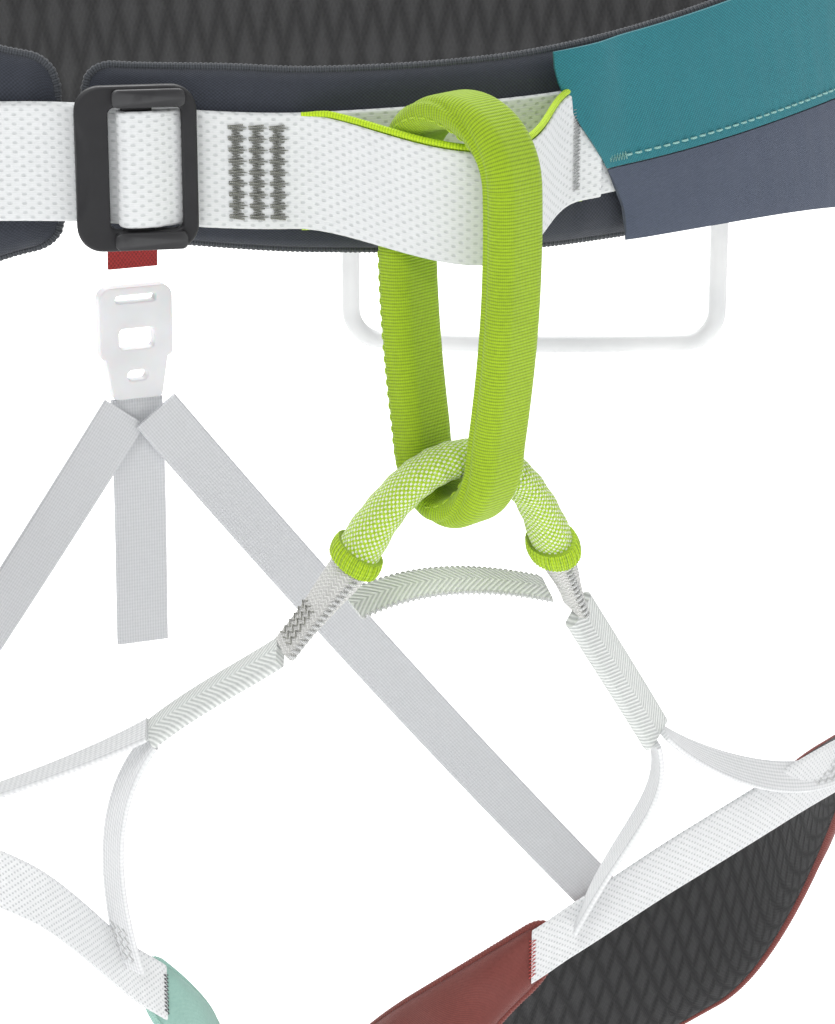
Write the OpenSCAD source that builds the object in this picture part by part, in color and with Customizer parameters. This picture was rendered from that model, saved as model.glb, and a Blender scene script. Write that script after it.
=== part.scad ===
// Climbing harness: waist belt, tie-in loops, belay loop, leg loops and rear risers.
// Millimetres, +Z up. The origin is the centre of the waist ring, level with the
// middle of the waist webbing. The belay loop hangs on the -Y side.

/* [Waist belt] */
// Half width of the belt's centre line, side to side
belt_half_w = 190; // [158:1:228]
// Half depth of the belt's centre line, front to back
belt_half_d = 100; // [82:1:122]
// Height of the pad at the front
pad_front_h = 50; // [44:1:64]
// Height of the pad at the back
pad_back_h = 96; // [80:1:116]
// Thickness of the foam in the waist pad
foam_t = 6; // [4:0.5:9]
// Thickness of a fabric or mesh skin
skin_t = 1; // [0.6:0.1:1.6]
// Width of the open gap in the pad behind the buckle, in degrees round the ring
pad_gap = 2.4; // [2.1:0.1:5]

/* [Waist webbing] */
// Width of the waist webbing
web_w = 30; // [25:1:36]
// Thickness of the waist webbing
web_t = 1.8; // [1.2:0.1:2.4]
// How far the upper tie-in loop stands off the belt
tie_bulge = 27; // [22:1:34]
// How far the upper tie-in loop droops at its middle
tie_droop = 7; // [3:1:10]

/* [Buckle] */
// Width of the buckle frame
buckle_w = 31; // [27:1:38]
// Height of the buckle frame
buckle_h = 42.5; // [40:0.5:52]
// Thickness of the buckle frame
buckle_t = 3; // [2:0.5:4]
// Width of the slider's flat bar
slider_w = 8; // [6:0.5:10]
// Travel of the slider as the strap is loosened
slider_travel = 3; // [2:0.5:4]

/* [Belay loop] */
// Overall height of the belay loop
belay_h = 114.5; // [95:0.5:138]
// Width of the belay loop's strand
belay_w = 17; // [14:0.5:20]
// Thickness of the belay loop's strand
belay_t = 9; // [7:0.5:11]
// Distance between the centres of the two strands
belay_gap = 36; // [34:1:44]
// Turn of the belay loop about its long axis
belay_turn = 25; // [0:1:35]

/* [Leg loops] */
// Half width of a leg loop, side to side
leg_half_w = 84; // [70:1:92]
// Half depth of a leg loop, front to back
leg_half_d = 80; // [66:1:96]
// Tallest part of a leg pad
leg_pad_h = 76; // [62:1:92]
// Thickness of the foam in a leg pad
leg_foam_t = 6; // [4:0.5:8]
// Width of the elastic band in front of the thigh
leg_band_w = 17; // [14:1:21]
// Width of the straps that hold the leg loops up at the front
v_strap_w = 12; // [10:0.5:15]
// Width of the rear riser straps
riser_w = 17; // [14:1:21]

/* [Gear loops] */
// Diameter of the gear loop tube
gear_d = 6; // [4.5:0.5:8]
// Drop of a gear loop below its tabs
gear_drop = 50; // [40:1:60]
// Bend radius at the bottom corners of a gear loop
gear_bend = 11; // [8:1:15]
// Diameter of the haul loop's cord
haul_d = 5; // [4:0.5:7]

/* [Hidden] */
$fn = 48;

// Small clearance between layers that lie on each other, and between moving pieces
lay = 0.2;
free = 0.4;

// Shape of the waist ring: a superellipse with a soft nose at the front
ring_power = 2.05;
nose = 3;
nose_w = 50;
// Directions round the ring, in degrees: -90 is the front, 0 the right, 90 the back
tongue_t = -116.2;
left_end_t = 360 + tongue_t - pad_gap;
buckle_turn = -112.4;

// Layers outward from the middle of the foam
lining_in = -foam_t/2 - lay - skin_t;
fabric_out = foam_t/2 + lay + skin_t;
web_in = fabric_out + lay;
web_out = web_in + web_t;
fold_in = web_out + lay;
fold_out = fold_in + web_t;
panel_out = fold_in + skin_t;

function unit(v) = v / norm(v);
function ramp(a, b, v) = let(u = min(1, max(0, (v - a)/(b - a)))) u*u*(3 - 2*u);
function signed_pow(v, p) = sign(v)*pow(abs(v), p);
function steps(a, b, n) = [for (i = [0:n]) a + (b - a)*i/n];
function mix(a, b, u) = a*(1 - u) + b*u;
function bezier(p, u) = p[0]*pow(1 - u, 3) + p[1]*3*u*pow(1 - u, 2)
  + p[2]*3*u*u*(1 - u) + p[3]*pow(u, 3);
function bezier_dir(p, u) = unit((p[1] - p[0])*pow(1 - u, 2)
  + (p[2] - p[1])*2*u*(1 - u) + (p[3] - p[2])*u*u);

// The waist ring's centre line, its outward direction and points beside it
function ring_mid(t) = let(
    x = belt_half_w*signed_pow(cos(t), 2/ring_power),
    y = belt_half_d*signed_pow(sin(t), 2/ring_power))
  [x, y - (y < 0 ? nose*exp(-pow(x/nose_w, 2)) : 0)];
function ring_out(t) = let(d = ring_mid(t + 0.5) - ring_mid(t - 0.5)) [d[1], -d[0]]/norm(d);
function ring_at(t, off) = ring_mid(t) + off*ring_out(t);
function ring_turn(t) = let(o = ring_out(t)) atan2(o[1], o[0]) + 90;
function from_front(t) = abs((t + 270) % 360 - 180);
function tip_taper(t) = 0.86 + 0.14*ramp(0, 14, min(t - tongue_t, left_end_t - t));
function pad_grow(t) = (pad_back_h - pad_front_h)/2*ramp(0, 100, from_front(t));
function pad_top(t) = (pad_front_h/2 - 1 + pad_grow(t))*tip_taper(t);
function low_taper(t) = min(0.68 + 0.32*ramp(0, 40, t - tongue_t),
  0.74 + 0.26*ramp(0, 16, left_end_t - t));
function pad_bot(t) = -(pad_front_h/2 + 1 + pad_grow(t))*low_taper(t);

front_y = ring_mid(-90)[1];
back_y = ring_mid(90)[1];

// Belay loop: its long axis stands in front of the belt
belay_y = front_y - web_out - 24.2;
belay_top = 22.8;
belay_r = belay_gap/2;
belay_arc_top = belay_top - belay_t/2 - belay_r;
belay_arc_low = belay_arc_top + belay_t + belay_gap - belay_h;
sheath_t = 1.2;

// Lower tie-in point: the sleeve arches through the foot of the belay loop
arch_top = belay_arc_low - belay_r + belay_t/2 + 6.9;
arch_left = [-27.5, belay_y + 7, arch_top - 25.7];
arch_right = [31, belay_y + 7, arch_top - 30.2];
arch = [arch_left, [-13, belay_y - 4, arch_top + 13],
  [16, belay_y - 4, arch_top + 12.1], arch_right];
sleeve_half_w = 6.5;
sleeve_half_t = 4.7;
sleeve_wall = 1.2;

// Foot of each junction and each split of the V straps, as [x, y, z]
foot_left = [-45, belay_y + 12, arch_top - 49];
foot_right = [39.5, belay_y + 11, arch_top - 48];
split_left = [-75, belay_y + 35, arch_top - 77];
split_right = [76.6, belay_y + 35, arch_top - 100];

// Leg loops: [side, x of the centre, z of the top edge at the centre, sideways slope]
leg_left = [-1, 113, arch_top - 179, 0.64];
leg_right = [1, 106, arch_top - 199, 0.44];
leg_y = belay_y + 139;
leg_slope = 0.71;
pad_first = -28;
pad_last = 238;
band_first = 239;
band_last = 331;
band_t = 1.6;
riser_on_leg = 63;
leg_end_h = 20;
function leg_mid(leg, a, off) = [leg[0]*(leg[1] + (leg_half_w + off)*cos(a)),
  leg_y + (leg_half_d + off)*sin(a)];
function leg_top(leg, a) = leg[2] + leg[3]*leg_half_w*cos(a) - leg_slope*leg_half_d*sin(a);
function leg_h(a) = leg_end_h
  + (leg_pad_h - leg_end_h)*ramp(0, 60, min(a - pad_first, pad_last - a));
function leg_at(leg, a, off, down) = concat(leg_mid(leg, a, off), leg_top(leg, a) - down);

// Rear riser
riser_x = -15;
riser_y = back_y + web_out + 1.2;
riser_top = -76;
riser_low = riser_top - 43;
riser_t = 1.6;
tail_len = 86;

// Solid through a list of sections, each a list of the same number of points
module loft(raw) {
  n = len(raw[0]);
  last = len(raw) - 1;
  travel = raw[1][0] - raw[0][0];
  facing = cross(raw[0][1] - raw[0][0], raw[0][2] - raw[0][0])*travel;
  s = facing > 0 ? raw : [for (r = raw) [for (i = [n - 1:-1:0]) r[i]]];
  polyhedron([for (r = s) each r], concat(
    [[for (i = [0:n - 1]) i]],
    [[for (i = [n - 1:-1:0]) last*n + i]],
    [for (j = [0:last - 1], i = [0:n - 1]) [j*n + i, j*n + n + i, j*n + n + (i + 1) % n]],
    [for (j = [0:last - 1], i = [0:n - 1])
      [j*n + i, j*n + n + (i + 1) % n, j*n + (i + 1) % n]]), convexity = 8);
}

// Tube wall between an outer and an inner list of sections, open at both ends
module hose(outer, inner) {
  n = len(outer[0]);
  last = len(outer) - 1;
  half = (last + 1)*n;
  travel = outer[1][0] - outer[0][0];
  flip = cross(outer[0][1] - outer[0][0], outer[0][2] - outer[0][0])*travel < 0;
  function ordered(r) = flip ? [for (i = [n - 1:-1:0]) r[i]] : r;
  function quad(a, b, c, d) = [[a, b, c], [a, c, d]];
  polyhedron([for (r = concat(outer, inner)) each ordered(r)], concat(
    [for (j = [0:last - 1], i = [0:n - 1]) let(k = (i + 1) % n)
      each quad(j*n + i, j*n + n + i, j*n + n + k, j*n + k)],
    [for (j = [0:last - 1], i = [0:n - 1]) let(k = (i + 1) % n)
      each quad(half + j*n + i, half + j*n + k, half + j*n + n + k, half + j*n + n + i)],
    [for (i = [0:n - 1]) let(k = (i + 1) % n) each quad(i, k, half + k, half + i)],
    [for (i = [0:n - 1]) let(k = (i + 1) % n)
      each quad(last*n + i, half + last*n + i, half + last*n + k, last*n + k)]),
    convexity = 8);
}

// Flat strap along a cubic curve. The face's width runs from direction side0 to side1.
function strap_section(p, side0, side1, w, t, u) = let(
    c = bezier(p, u), d = bezier_dir(p, u),
    face = unit(cross(d, unit(mix(side0, side1, u)))), side = cross(face, d))
  [c - side*w/2 - face*t/2, c + side*w/2 - face*t/2,
   c + side*w/2 + face*t/2, c - side*w/2 + face*t/2];
module strap(p, side0, side1, w, t, n = 16) {
  loft([for (u = steps(0, 1, n)) strap_section(p, side0, side1, w, t, u)]);
}

// Oval section across the arch, level with its run
function arch_section(u, half_w, half_t) = let(
    c = bezier(arch, u), d = bezier_dir(arch, u),
    up = unit(cross(d, [0, 1, 0]))*-1, side = cross(d, up),
    s = 1 + 0.16*ramp(0.3, 0.5, abs(u - 0.5)))
  [for (k = [0:19]) c + side*half_w*s*cos(k*18) + up*half_t*s*sin(k*18)];

// Part of a pad that follows the waist ring between two heights
module belt_layer(t0, t1, in, out, low, high, n) {
  loft([for (t = steps(t0, t1, n)) let(a = ring_at(t, in), b = ring_at(t, out))
    [[a[0], a[1], low(t)], [b[0], b[1], low(t)], [b[0], b[1], high(t)], [a[0], a[1], high(t)]]]);
}

// Webbing that follows the waist ring, as a straight-sided plate
module ring_webbing(t0, t1, in, out, h, n) {
  translate([0, 0, -h/2]) linear_extrude(h) polygon(concat(
    [for (t = steps(t0, t1, n)) ring_at(t, in)],
    [for (t = steps(t1, t0, n)) ring_at(t, out)]));
}

module at_ring(t, off = 0) {
  p = ring_at(t, off);
  translate([p[0], p[1], 0]) rotate([0, 0, ring_turn(t)]) children();
}

module belt_foam() color("dimgray")
  belt_layer(tongue_t, left_end_t, -foam_t/2, foam_t/2,
    function (t) pad_bot(t), function (t) pad_top(t), 72);

module belt_mesh_lining() color("darkslategray")
  belt_layer(tongue_t, left_end_t, lining_in, -foam_t/2 - lay,
    function (t) pad_bot(t), function (t) pad_top(t), 72);

module belt_outer_fabric() color("midnightblue")
  belt_layer(tongue_t, left_end_t, foam_t/2 + lay, fabric_out,
    function (t) pad_bot(t), function (t) pad_top(t), 72);

edge_t = 1.5;
module belt_edge_binding() color("black") {
  belt_layer(tongue_t, left_end_t, lining_in, fabric_out,
    function (t) pad_top(t) + lay, function (t) pad_top(t) + lay + edge_t, 72);
  belt_layer(tongue_t, left_end_t, lining_in, fabric_out,
    function (t) pad_bot(t) - lay - edge_t, function (t) pad_bot(t) - lay, 72);
}

// Decorative panels over the webbing: a wide upper one and a narrow lower one
panel_split = -3;
panel_margin = 1;
right_panel = [-76.1, 62];
left_panel = [118, 214];
module upper_panel(ends) color("teal")
  belt_layer(ends[0], ends[1], fold_in, panel_out, function (t) panel_split + lay,
    function (t) pad_top(t) - panel_margin, 36);
module lower_panel(ends) color("slategray")
  belt_layer(ends[0], ends[1], fold_in, panel_out,
    function (t) pad_bot(t) + panel_margin, function (t) panel_split - lay, 36);
module upper_panel_right() upper_panel(right_panel);
module lower_panel_right() lower_panel(right_panel);
module upper_panel_left() upper_panel(left_panel);
module lower_panel_left() lower_panel(left_panel);

// Buckle layout in the buckle's own frame: x along the belt, y inward
frame_mid = fold_out + lay + buckle_t/2 + 0.4;
window_w = buckle_w - 12.5;
window_x = 2.25;
bar_x = window_x - window_w/2 + web_t + 1.4 + slider_w/2;
bar_t = 3;
loop_in_t = bar_t + 2*free;
loop_in_w = slider_w + slider_travel + 2*free;
loop_x = bar_x + slider_travel/2;
roll_out_t = loop_in_t + 2*web_t;

function oval(w, t) = [for (side = [0, 180], k = [0:10]) let(a = side - 90 + 18*k)
  [(side == 0 ? 1 : -1)*(w - t)/2 + t/2*cos(a), t/2*sin(a)]];
// Direction round the ring that lies x beside the middle of the buckle
function beside_buckle(x) = buckle_turn
  + x/norm(ring_mid(buckle_turn + 0.5) - ring_mid(buckle_turn - 0.5));

module stadium(w, t) {
  union() {
    square([w - t, t], center = true);
    translate([(w - t)/2, 0]) circle(d = t);
    translate([-(w - t)/2, 0]) circle(d = t);
  }
}

// The right webbing goes round the slider bar and is sewn back on itself
fold_end_t = -100.4;
module waist_webbing_right() color("gainsboro") {
  end = loop_x + loop_in_w/2 + web_t;
  ring_webbing(beside_buckle(end - 0.8), 88, web_in, web_out, web_w, 60);
  ring_webbing(beside_buckle(end - 0.7), fold_end_t, fold_in, fold_out, web_w, 8);
  ring_webbing(beside_buckle(end - 1.6), beside_buckle(end + 0.4), web_in + 0.5,
    frame_mid - 0.3, web_w - 0.6, 1);
  at_ring(buckle_turn) translate([loop_x, -frame_mid, -web_w/2]) linear_extrude(web_w)
    difference() {
      polygon(oval(loop_in_w + 2*web_t, roll_out_t));
      polygon(oval(loop_in_w, loop_in_t));
    }
}

// The left webbing comes up to the buckle, and its tail lies back over it
module waist_webbing_left() color("gainsboro")
  ring_webbing(92, 360 + buckle_turn + 1.5, web_in, web_out, web_w, 56);

tail_end_t = 205;
module waist_webbing_tail() color("whitesmoke")
  ring_webbing(tail_end_t + 12, 360 + beside_buckle(loop_x - loop_in_w/2 - web_t - free),
    fold_in, fold_out, web_w, 14);

keeper_t = 222;
module webbing_keeper() color("black")
  at_ring(keeper_t, 0) difference() {
    translate([-5, -fold_out - 1.5, -web_w/2 - 1.5]) cube([10, 2.7, web_w + 3]);
    translate([-6, -fold_out - 0.3, -web_w/2 - 0.3]) cube([12, 4, web_w + 0.6]);
  }

// Upper tie-in loop: the outer layer of webbing stands off the belt between two bartacks
tie_from = fold_end_t + 0.3;
tie_to = right_panel[0] - 0.4;
tie_mid = (tie_from + tie_to)/2;
function tie_rise(t) = pow(cos(90*(t - tie_mid)/((tie_to - tie_from)/2)), 2);
module tie_layer(in, out, low, high) loft([for (t = steps(tie_from, tie_to, 28)) let(
    lift = tie_rise(t), o = fold_in + tie_bulge*lift,
    a = ring_at(t, o + in), b = ring_at(t, o + out), z = -tie_droop*lift)
  [[a[0], a[1], z + low], [b[0], b[1], z + low], [b[0], b[1], z + high], [a[0], a[1], z + high]]]);
lining_t = 0.9;
module tie_in_webbing() color("white") tie_layer(lining_t, web_t, -web_w/2, web_w/2);
module tie_in_lining() color("yellowgreen")
  tie_layer(lay, lining_t - lay, -web_w/2 + 1, web_w/2 + 1);

module waist_bartacks() color("darkkhaki") {
  ring_webbing(fold_end_t - 4.5, fold_end_t - 0.3, fold_out + lay, fold_out + 1, 24, 4);
  ring_webbing(tie_to - 0.8, tie_to - 0.1, fold_out + 0.6, fold_out + 1.3, 22, 2);
}

// The slider bar's ends run in two notches of the frame
bar_end = web_w/2 + 2.5;
module buckle_frame() color("darkslategray")
  at_ring(buckle_turn) translate([0, -frame_mid + buckle_t/2, 0]) rotate([90, 0, 0])
    linear_extrude(buckle_t) difference() {
      hull() for (x = [-1, 1], z = [-1, 1])
        translate([x*(buckle_w/2 - 6), z*(buckle_h/2 - 6)]) circle(r = 6);
      translate([window_x, 0]) square([window_w, web_w + 1.4], center = true);
      translate([bar_x + slider_travel/2, 0])
        square([slider_w + slider_travel + 2*free, 2*(bar_end + free)], center = true);
    }

module buckle_slider() color("black")
  at_ring(buckle_turn) translate([bar_x, -frame_mid, 0]) {
    translate([0, 0, -bar_end]) linear_extrude(2*bar_end) stadium(slider_w, bar_t);
    for (s = [-1, 1])
      translate([3, -buckle_t/2 - free - 1, s*(web_w/4 + buckle_h/4 + 0.2)])
        cube([18, 2, buckle_h/2 - web_w/2 - 1.6], center = true);
    for (s = [-1, 1])
      translate([0, -buckle_t/4 - free, s*(bar_end - 0.75)])
        cube([slider_w - bar_t, buckle_t/2 + 2*free, 1.5], center = true);
  }

// Gear loops: each hangs from two tabs under the lower edge of the pad
gear_front_right = [-35, -3];
gear_rear_right = [28, 73];
gear_rear_left = [113, 157];
gear_front_left = [186, 216];
pivot_d = 4;
tab_len = 8;
tab_t = 7;
function gear_end(g, k) = ring_at(g[k], 2);
function gear_z(g) = min(pad_bot(g[0]), pad_bot(g[1])) - lay - edge_t - 2*free - tab_t/2;
module at_gear(g) {
  a = gear_end(g, 0);
  b = gear_end(g, 1);
  translate([a[0], a[1], gear_z(g)]) rotate([0, 0, atan2(b[1] - a[1], b[0] - a[0])])
    children();
}
function gear_span(g) = norm(gear_end(g, 1) - gear_end(g, 0));

// Bent tube that hangs down from two pivots on the x axis
function bend_points(cx, cz, r, from) = [for (k = [0:5]) [cx + r*cos(from + 18*k), cz
  + r*sin(from + 18*k)]];
function loop_path(span, drop, bend, d) = concat([[0, d/2]],
  bend_points(bend, bend - drop, bend, 180), bend_points(span - bend, bend - drop, bend, 270),
  [[span, d/2]]);
module hanging_loop(span, drop, bend, d) {
  path = loop_path(span, drop, bend, d);
  last = len(path) - 1;
  loft([for (i = [0:last]) let(
      along = unit(path[min(i + 1, last)] - path[max(i - 1, 0)]), across = [-along[1], along[0]])
    [for (k = [0:11]) [path[i][0] + across[0]*cos(k*30)*d/2, sin(k*30)*d/2,
      path[i][1] + across[1]*cos(k*30)*d/2]]]);
  pin = tab_len + 1 + d/2;
  rotate([0, 90, 0]) translate([0, 0, -pin]) cylinder(h = pin, d = pivot_d);
  translate([span, 0, 0]) rotate([0, 90, 0]) cylinder(h = pin, d = pivot_d);
}

module pivot_tab() rotate([0, 90, 0]) difference() {
  translate([-tab_t/2, -tab_t/2, 0]) cube([tab_t, tab_t, tab_len]);
  translate([0, 0, -1]) cylinder(h = tab_len + 2, d = pivot_d + 2*free);
}

module gear_loop_tabs() color("dimgray")
  for (g = [gear_front_right, gear_rear_right, gear_rear_left, gear_front_left])
    at_gear(g) {
      translate([-gear_d/2 - free - tab_len, 0, 0]) pivot_tab();
      translate([gear_span(g) + gear_d/2 + free, 0, 0]) pivot_tab();
    }
module gear_loop(g) color("white") at_gear(g)
  hanging_loop(gear_span(g), gear_drop, gear_bend, gear_d);
module gear_loop_front_right() gear_loop(gear_front_right);
module gear_loop_rear_right() gear_loop(gear_rear_right);
module gear_loop_rear_left() gear_loop(gear_rear_left);
module gear_loop_front_left() gear_loop(gear_front_left);

// Haul loop on the middle of the back
haul_span = 34;
haul_drop = 44;
haul_z = -2;
haul_y = back_y + web_out + tab_t/2 + 2.2;
module haul_loop_tabs() color("midnightblue") {
  translate([-haul_span/2 - haul_d/2 - free - tab_len, haul_y, haul_z]) pivot_tab();
  translate([haul_span/2 + haul_d/2 + free, haul_y, haul_z]) pivot_tab();
}
module haul_loop() color("gray") translate([-haul_span/2, haul_y, haul_z])
  hanging_loop(haul_span, haul_drop, 9, haul_d);

// Rear riser: a tab on the belt, a moulded hook buckle and its straps
module riser_tab() color("darkred")
  translate([riser_x - riser_w/2, riser_y - 1, riser_top + 1]) cube([riser_w, 1.8, 32]);

riser_buckle_w = 25;
riser_buckle_t = 5;
module riser_buckle() color("white") translate([riser_x, riser_y + riser_buckle_t/2, 0])
  rotate([90, 0, 0]) linear_extrude(riser_buckle_t) difference() {
    translate([0, riser_low]) union() {
      hull() {
        translate([-8.5, 34]) circle(r = 4);
        translate([8.5, 34]) circle(r = 4);
        translate([-8.5, 22]) circle(r = 4);
        translate([8.5, 22]) circle(r = 4);
      }
      translate([-8.5, 0]) square([17, 22]);
      translate([-riser_buckle_w/2, 14]) square([riser_buckle_w, 8]);
    }
    translate([0, riser_low + 34]) square([riser_w - 3, 2.6], center = true);
    translate([0, riser_low + 20]) square([12, 7], center = true);
    translate([0, riser_low + 8]) stadium(7, 3.6);
  }

module riser_tail() color("whitesmoke")
  translate([riser_x - riser_w/2 - 0.5, riser_y - riser_t/2, riser_low - free - tail_len])
    cube([riser_w + 1, riser_t, tail_len]);

module riser_strap(leg) {
  side = leg[0];
  start = [riser_x + side*5, riser_y - 3.9 - side, riser_low - 4];
  end = leg_at(leg, riser_on_leg, leg_foam_t/2 + 2.6, -3);
  color("whitesmoke") strap([start, mix(start, end, 0.33) + [0, 1, -4],
    mix(start, end, 0.66) + [0, 2, -4], end], [side, 0, 1], [side, -0.4, 0.8],
    riser_w, riser_t, 14);
}
module riser_strap_left() riser_strap(leg_left);
module riser_strap_right() riser_strap(leg_right);

// Belay loop: a racetrack of one section, on its own turned axis
module racetrack(r) {
  translate([r, 0, belay_arc_low]) linear_extrude(belay_arc_top - belay_arc_low) children();
  translate([-r, 0, belay_arc_low]) linear_extrude(belay_arc_top - belay_arc_low)
    mirror([1, 0]) children();
  translate([0, 0, belay_arc_top]) rotate([90, 0, 0])
    rotate_extrude(angle = 180) translate([r, 0]) mirror([0, 1]) children();
  translate([0, 0, belay_arc_low]) rotate([90, 0, 0]) rotate([0, 0, 180])
    rotate_extrude(angle = 180) translate([r, 0]) mirror([0, 1]) children();
}
module on_belay_axis() translate([0, belay_y, 0]) rotate([0, 0, -90 + belay_turn]) children();
module belay_loop_core() color("khaki") on_belay_axis() racetrack(belay_r)
  rotate(90) stadium(belay_w - 2*sheath_t - 2*lay, belay_t - 2*sheath_t - 2*lay);
module belay_loop_sheath() color("yellowgreen") on_belay_axis() racetrack(belay_r)
  difference() {
    rotate(90) stadium(belay_w, belay_t);
    rotate(90) stadium(belay_w - 2*sheath_t, belay_t - 2*sheath_t);
  }
module belay_loop_seam() color("olivedrab") on_belay_axis() racetrack(belay_r)
  translate([0, -belay_w/2 - 0.2]) square([1.2, 0.2], center = true);

// Lower tie-in point
module tie_in_sleeve() color("yellowgreen")
  hose([for (u = steps(0.04, 0.96, 26)) arch_section(u, sleeve_half_w, sleeve_half_t)],
    [for (u = steps(0.04, 0.96, 26))
      arch_section(u, sleeve_half_w - sleeve_wall, sleeve_half_t - sleeve_wall)]);
module sleeve_hem(a, b) hose(
  [for (u = steps(a, b, 2)) arch_section(u, sleeve_half_w + 0.4, sleeve_half_t + 0.4)],
  [for (u = steps(a, b, 2))
    arch_section(u, sleeve_half_w - sleeve_wall, sleeve_half_t - sleeve_wall)]);
module sleeve_hems() color("greenyellow") {
  sleeve_hem(0.002, 0.037);
  sleeve_hem(0.963, 0.998);
}
module lower_tie_in_webbing() color("white")
  loft([for (u = steps(0, 1, 26))
    arch_section(u, sleeve_half_w - sleeve_wall - lay, sleeve_half_t - sleeve_wall - lay)]);

junction_t = 8;
module strap_junction(from, dir, foot, w0, w1) {
  start = from + unit(dir)*free;
  color("white") loft([for (u = steps(0, 1, 8)) let(
      d = unit(mix(dir, foot - from, u)), c = mix(start, foot, u),
      face = unit(cross(d, [0, 1, 0])), side = cross(d, face),
      w = mix(w0, w1, u), t = mix(junction_t, 3.4, u))
    [c - side*w/2 - face*t/2, c + side*w/2 - face*t/2,
     c + side*w/2 + face*t/2, c - side*w/2 + face*t/2]]);
}
module strap_junction_left()
  strap_junction(arch_left, -bezier_dir(arch, 0), foot_left, 14, v_strap_w);
module strap_junction_right()
  strap_junction(arch_right, bezier_dir(arch, 1), foot_right, 14, v_strap_w);

module bridge_strap() {
  from = arch_left + [2.5, 6.5, -14.5];
  to = arch_right + [0.5, 6.5, -12.5];
  color("whitesmoke") strap([from, from + [18, 0, 7], to + [-18, 0, 6], to],
    [0, 1, 0.35], [0, 1, 0.35], 11, 1.4, 16);
}

// V strap of one leg: a doubled strap that splits into an inner and an outer strand
strand_t = 1.6;
module v_strap(foot, split) {
  d = unit(split - foot);
  start = foot + d*3.8;
  color("white") strap([start, mix(start, split, 0.33), mix(start, split, 0.66) + [0, 1.5, 1],
    split], [0.1, 1, 0.1], [0.1, 1, 0.1], v_strap_w, 3.2, 8);
}
module v_strand_inner(leg, split, foot) {
  side = leg[0];
  d = unit(split - foot);
  start = split + d*free + [-side*0.9, 0, -1.2];
  end = leg_at(leg, band_first + 4, band_t/2 + strand_t/2 + free, leg_band_w/2);
  color("whitesmoke") strap([start, start + d*20 + [0, 0, -8], end + [side*9, -9, 34], end],
    [0.1, 1, 0.1], [side*0.89, -0.45, 0], v_strap_w - 2, strand_t, 18);
}
module v_strand_outer(leg, split, foot) {
  side = leg[0];
  d = unit(split - foot);
  start = split + d*2*free + [side*1.2, 0, 1.4];
  end = leg_at(leg, band_last - 16, band_t/2 + strand_t/2 + free, leg_band_w/2);
  color("whitesmoke") strap([start, start + d*24 + [0, 0, -4], end + [-side*22, -32, -8], end],
    [0.1, 1, 0.1], [0, 0, 1], v_strap_w - 2, strand_t, 18);
}
module v_strap_left() v_strap(foot_left, split_left);
module v_strap_right() v_strap(foot_right, split_right);
module v_strand_inner_left() v_strand_inner(leg_left, split_left, foot_left);
module v_strand_inner_right() v_strand_inner(leg_right, split_right, foot_right);
module v_strand_outer_left() v_strand_outer(leg_left, split_left, foot_left);
module v_strand_outer_right() v_strand_outer(leg_right, split_right, foot_right);

// Part of a leg loop between two offsets from its middle and two depths below its top edge
module leg_layer(leg, a0, a1, in, out, high, low, n) loft([for (a = steps(a0, a1, n))
  [leg_at(leg, a, in, low(a)), leg_at(leg, a, out, low(a)),
   leg_at(leg, a, out, high(a)), leg_at(leg, a, in, high(a))]]);
module leg_pad(leg, in, out) leg_layer(leg, pad_first, pad_last, in, out,
  function (a) 0, function (a) leg_h(a), 48);
leg_out = leg_foam_t/2 + lay + skin_t;
module leg_foam_left() color("dimgray") leg_pad(leg_left, -leg_foam_t/2, leg_foam_t/2);
module leg_foam_right() color("dimgray") leg_pad(leg_right, -leg_foam_t/2, leg_foam_t/2);
module leg_mesh_left() color("darkslategray") leg_pad(leg_left, -leg_out, -leg_foam_t/2 - lay);
module leg_mesh_right() color("darkslategray")
  leg_pad(leg_right, -leg_out, -leg_foam_t/2 - lay);
module leg_fabric_left() color("mediumaquamarine")
  leg_pad(leg_left, leg_foam_t/2 + lay, leg_out);
module leg_fabric_right() color("brown") leg_pad(leg_right, leg_foam_t/2 + lay, leg_out);
edge_gap = 0.7;
module leg_binding(leg) color("black") {
  leg_layer(leg, pad_first, pad_last, -leg_out, leg_out,
    function (a) -edge_gap - edge_t, function (a) -edge_gap, 48);
  leg_layer(leg, pad_first, pad_last, -leg_out, leg_out,
    function (a) leg_h(a) + edge_gap, function (a) leg_h(a) + edge_gap + edge_t, 48);
}
module leg_binding_left() leg_binding(leg_left);
module leg_binding_right() leg_binding(leg_right);
module leg_band(leg) color("gainsboro") leg_layer(leg, band_first, band_last,
  -band_t/2, band_t/2, function (a) 1, function (a) leg_band_w + 1, 20);
module leg_band_left() leg_band(leg_left);
module leg_band_right() leg_band(leg_right);
module leg_riser_tab(leg) color("darkred") leg_layer(leg, riser_on_leg - 6,
  riser_on_leg + 6, leg_out + lay, leg_out + lay + 1.8,
  function (a) 1, function (a) 16, 4);
module leg_riser_tab_left() leg_riser_tab(leg_left);
module leg_riser_tab_right() leg_riser_tab(leg_right);

belt_foam();
belt_mesh_lining();
belt_outer_fabric();
belt_edge_binding();
upper_panel_right();
lower_panel_right();
upper_panel_left();
lower_panel_left();
waist_webbing_right();
waist_webbing_left();
waist_webbing_tail();
webbing_keeper();
tie_in_webbing();
tie_in_lining();
waist_bartacks();
buckle_frame();
buckle_slider();
gear_loop_tabs();
gear_loop_front_right();
gear_loop_rear_right();
gear_loop_rear_left();
gear_loop_front_left();
haul_loop_tabs();
haul_loop();
riser_tab();
riser_buckle();
riser_tail();
riser_strap_left();
riser_strap_right();
belay_loop_core();
belay_loop_sheath();
belay_loop_seam();
tie_in_sleeve();
sleeve_hems();
lower_tie_in_webbing();
bridge_strap();
strap_junction_left();
strap_junction_right();
v_strap_left();
v_strand_inner_left();
v_strand_outer_left();
leg_band_left();
leg_foam_left();
leg_mesh_left();
leg_fabric_left();
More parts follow.
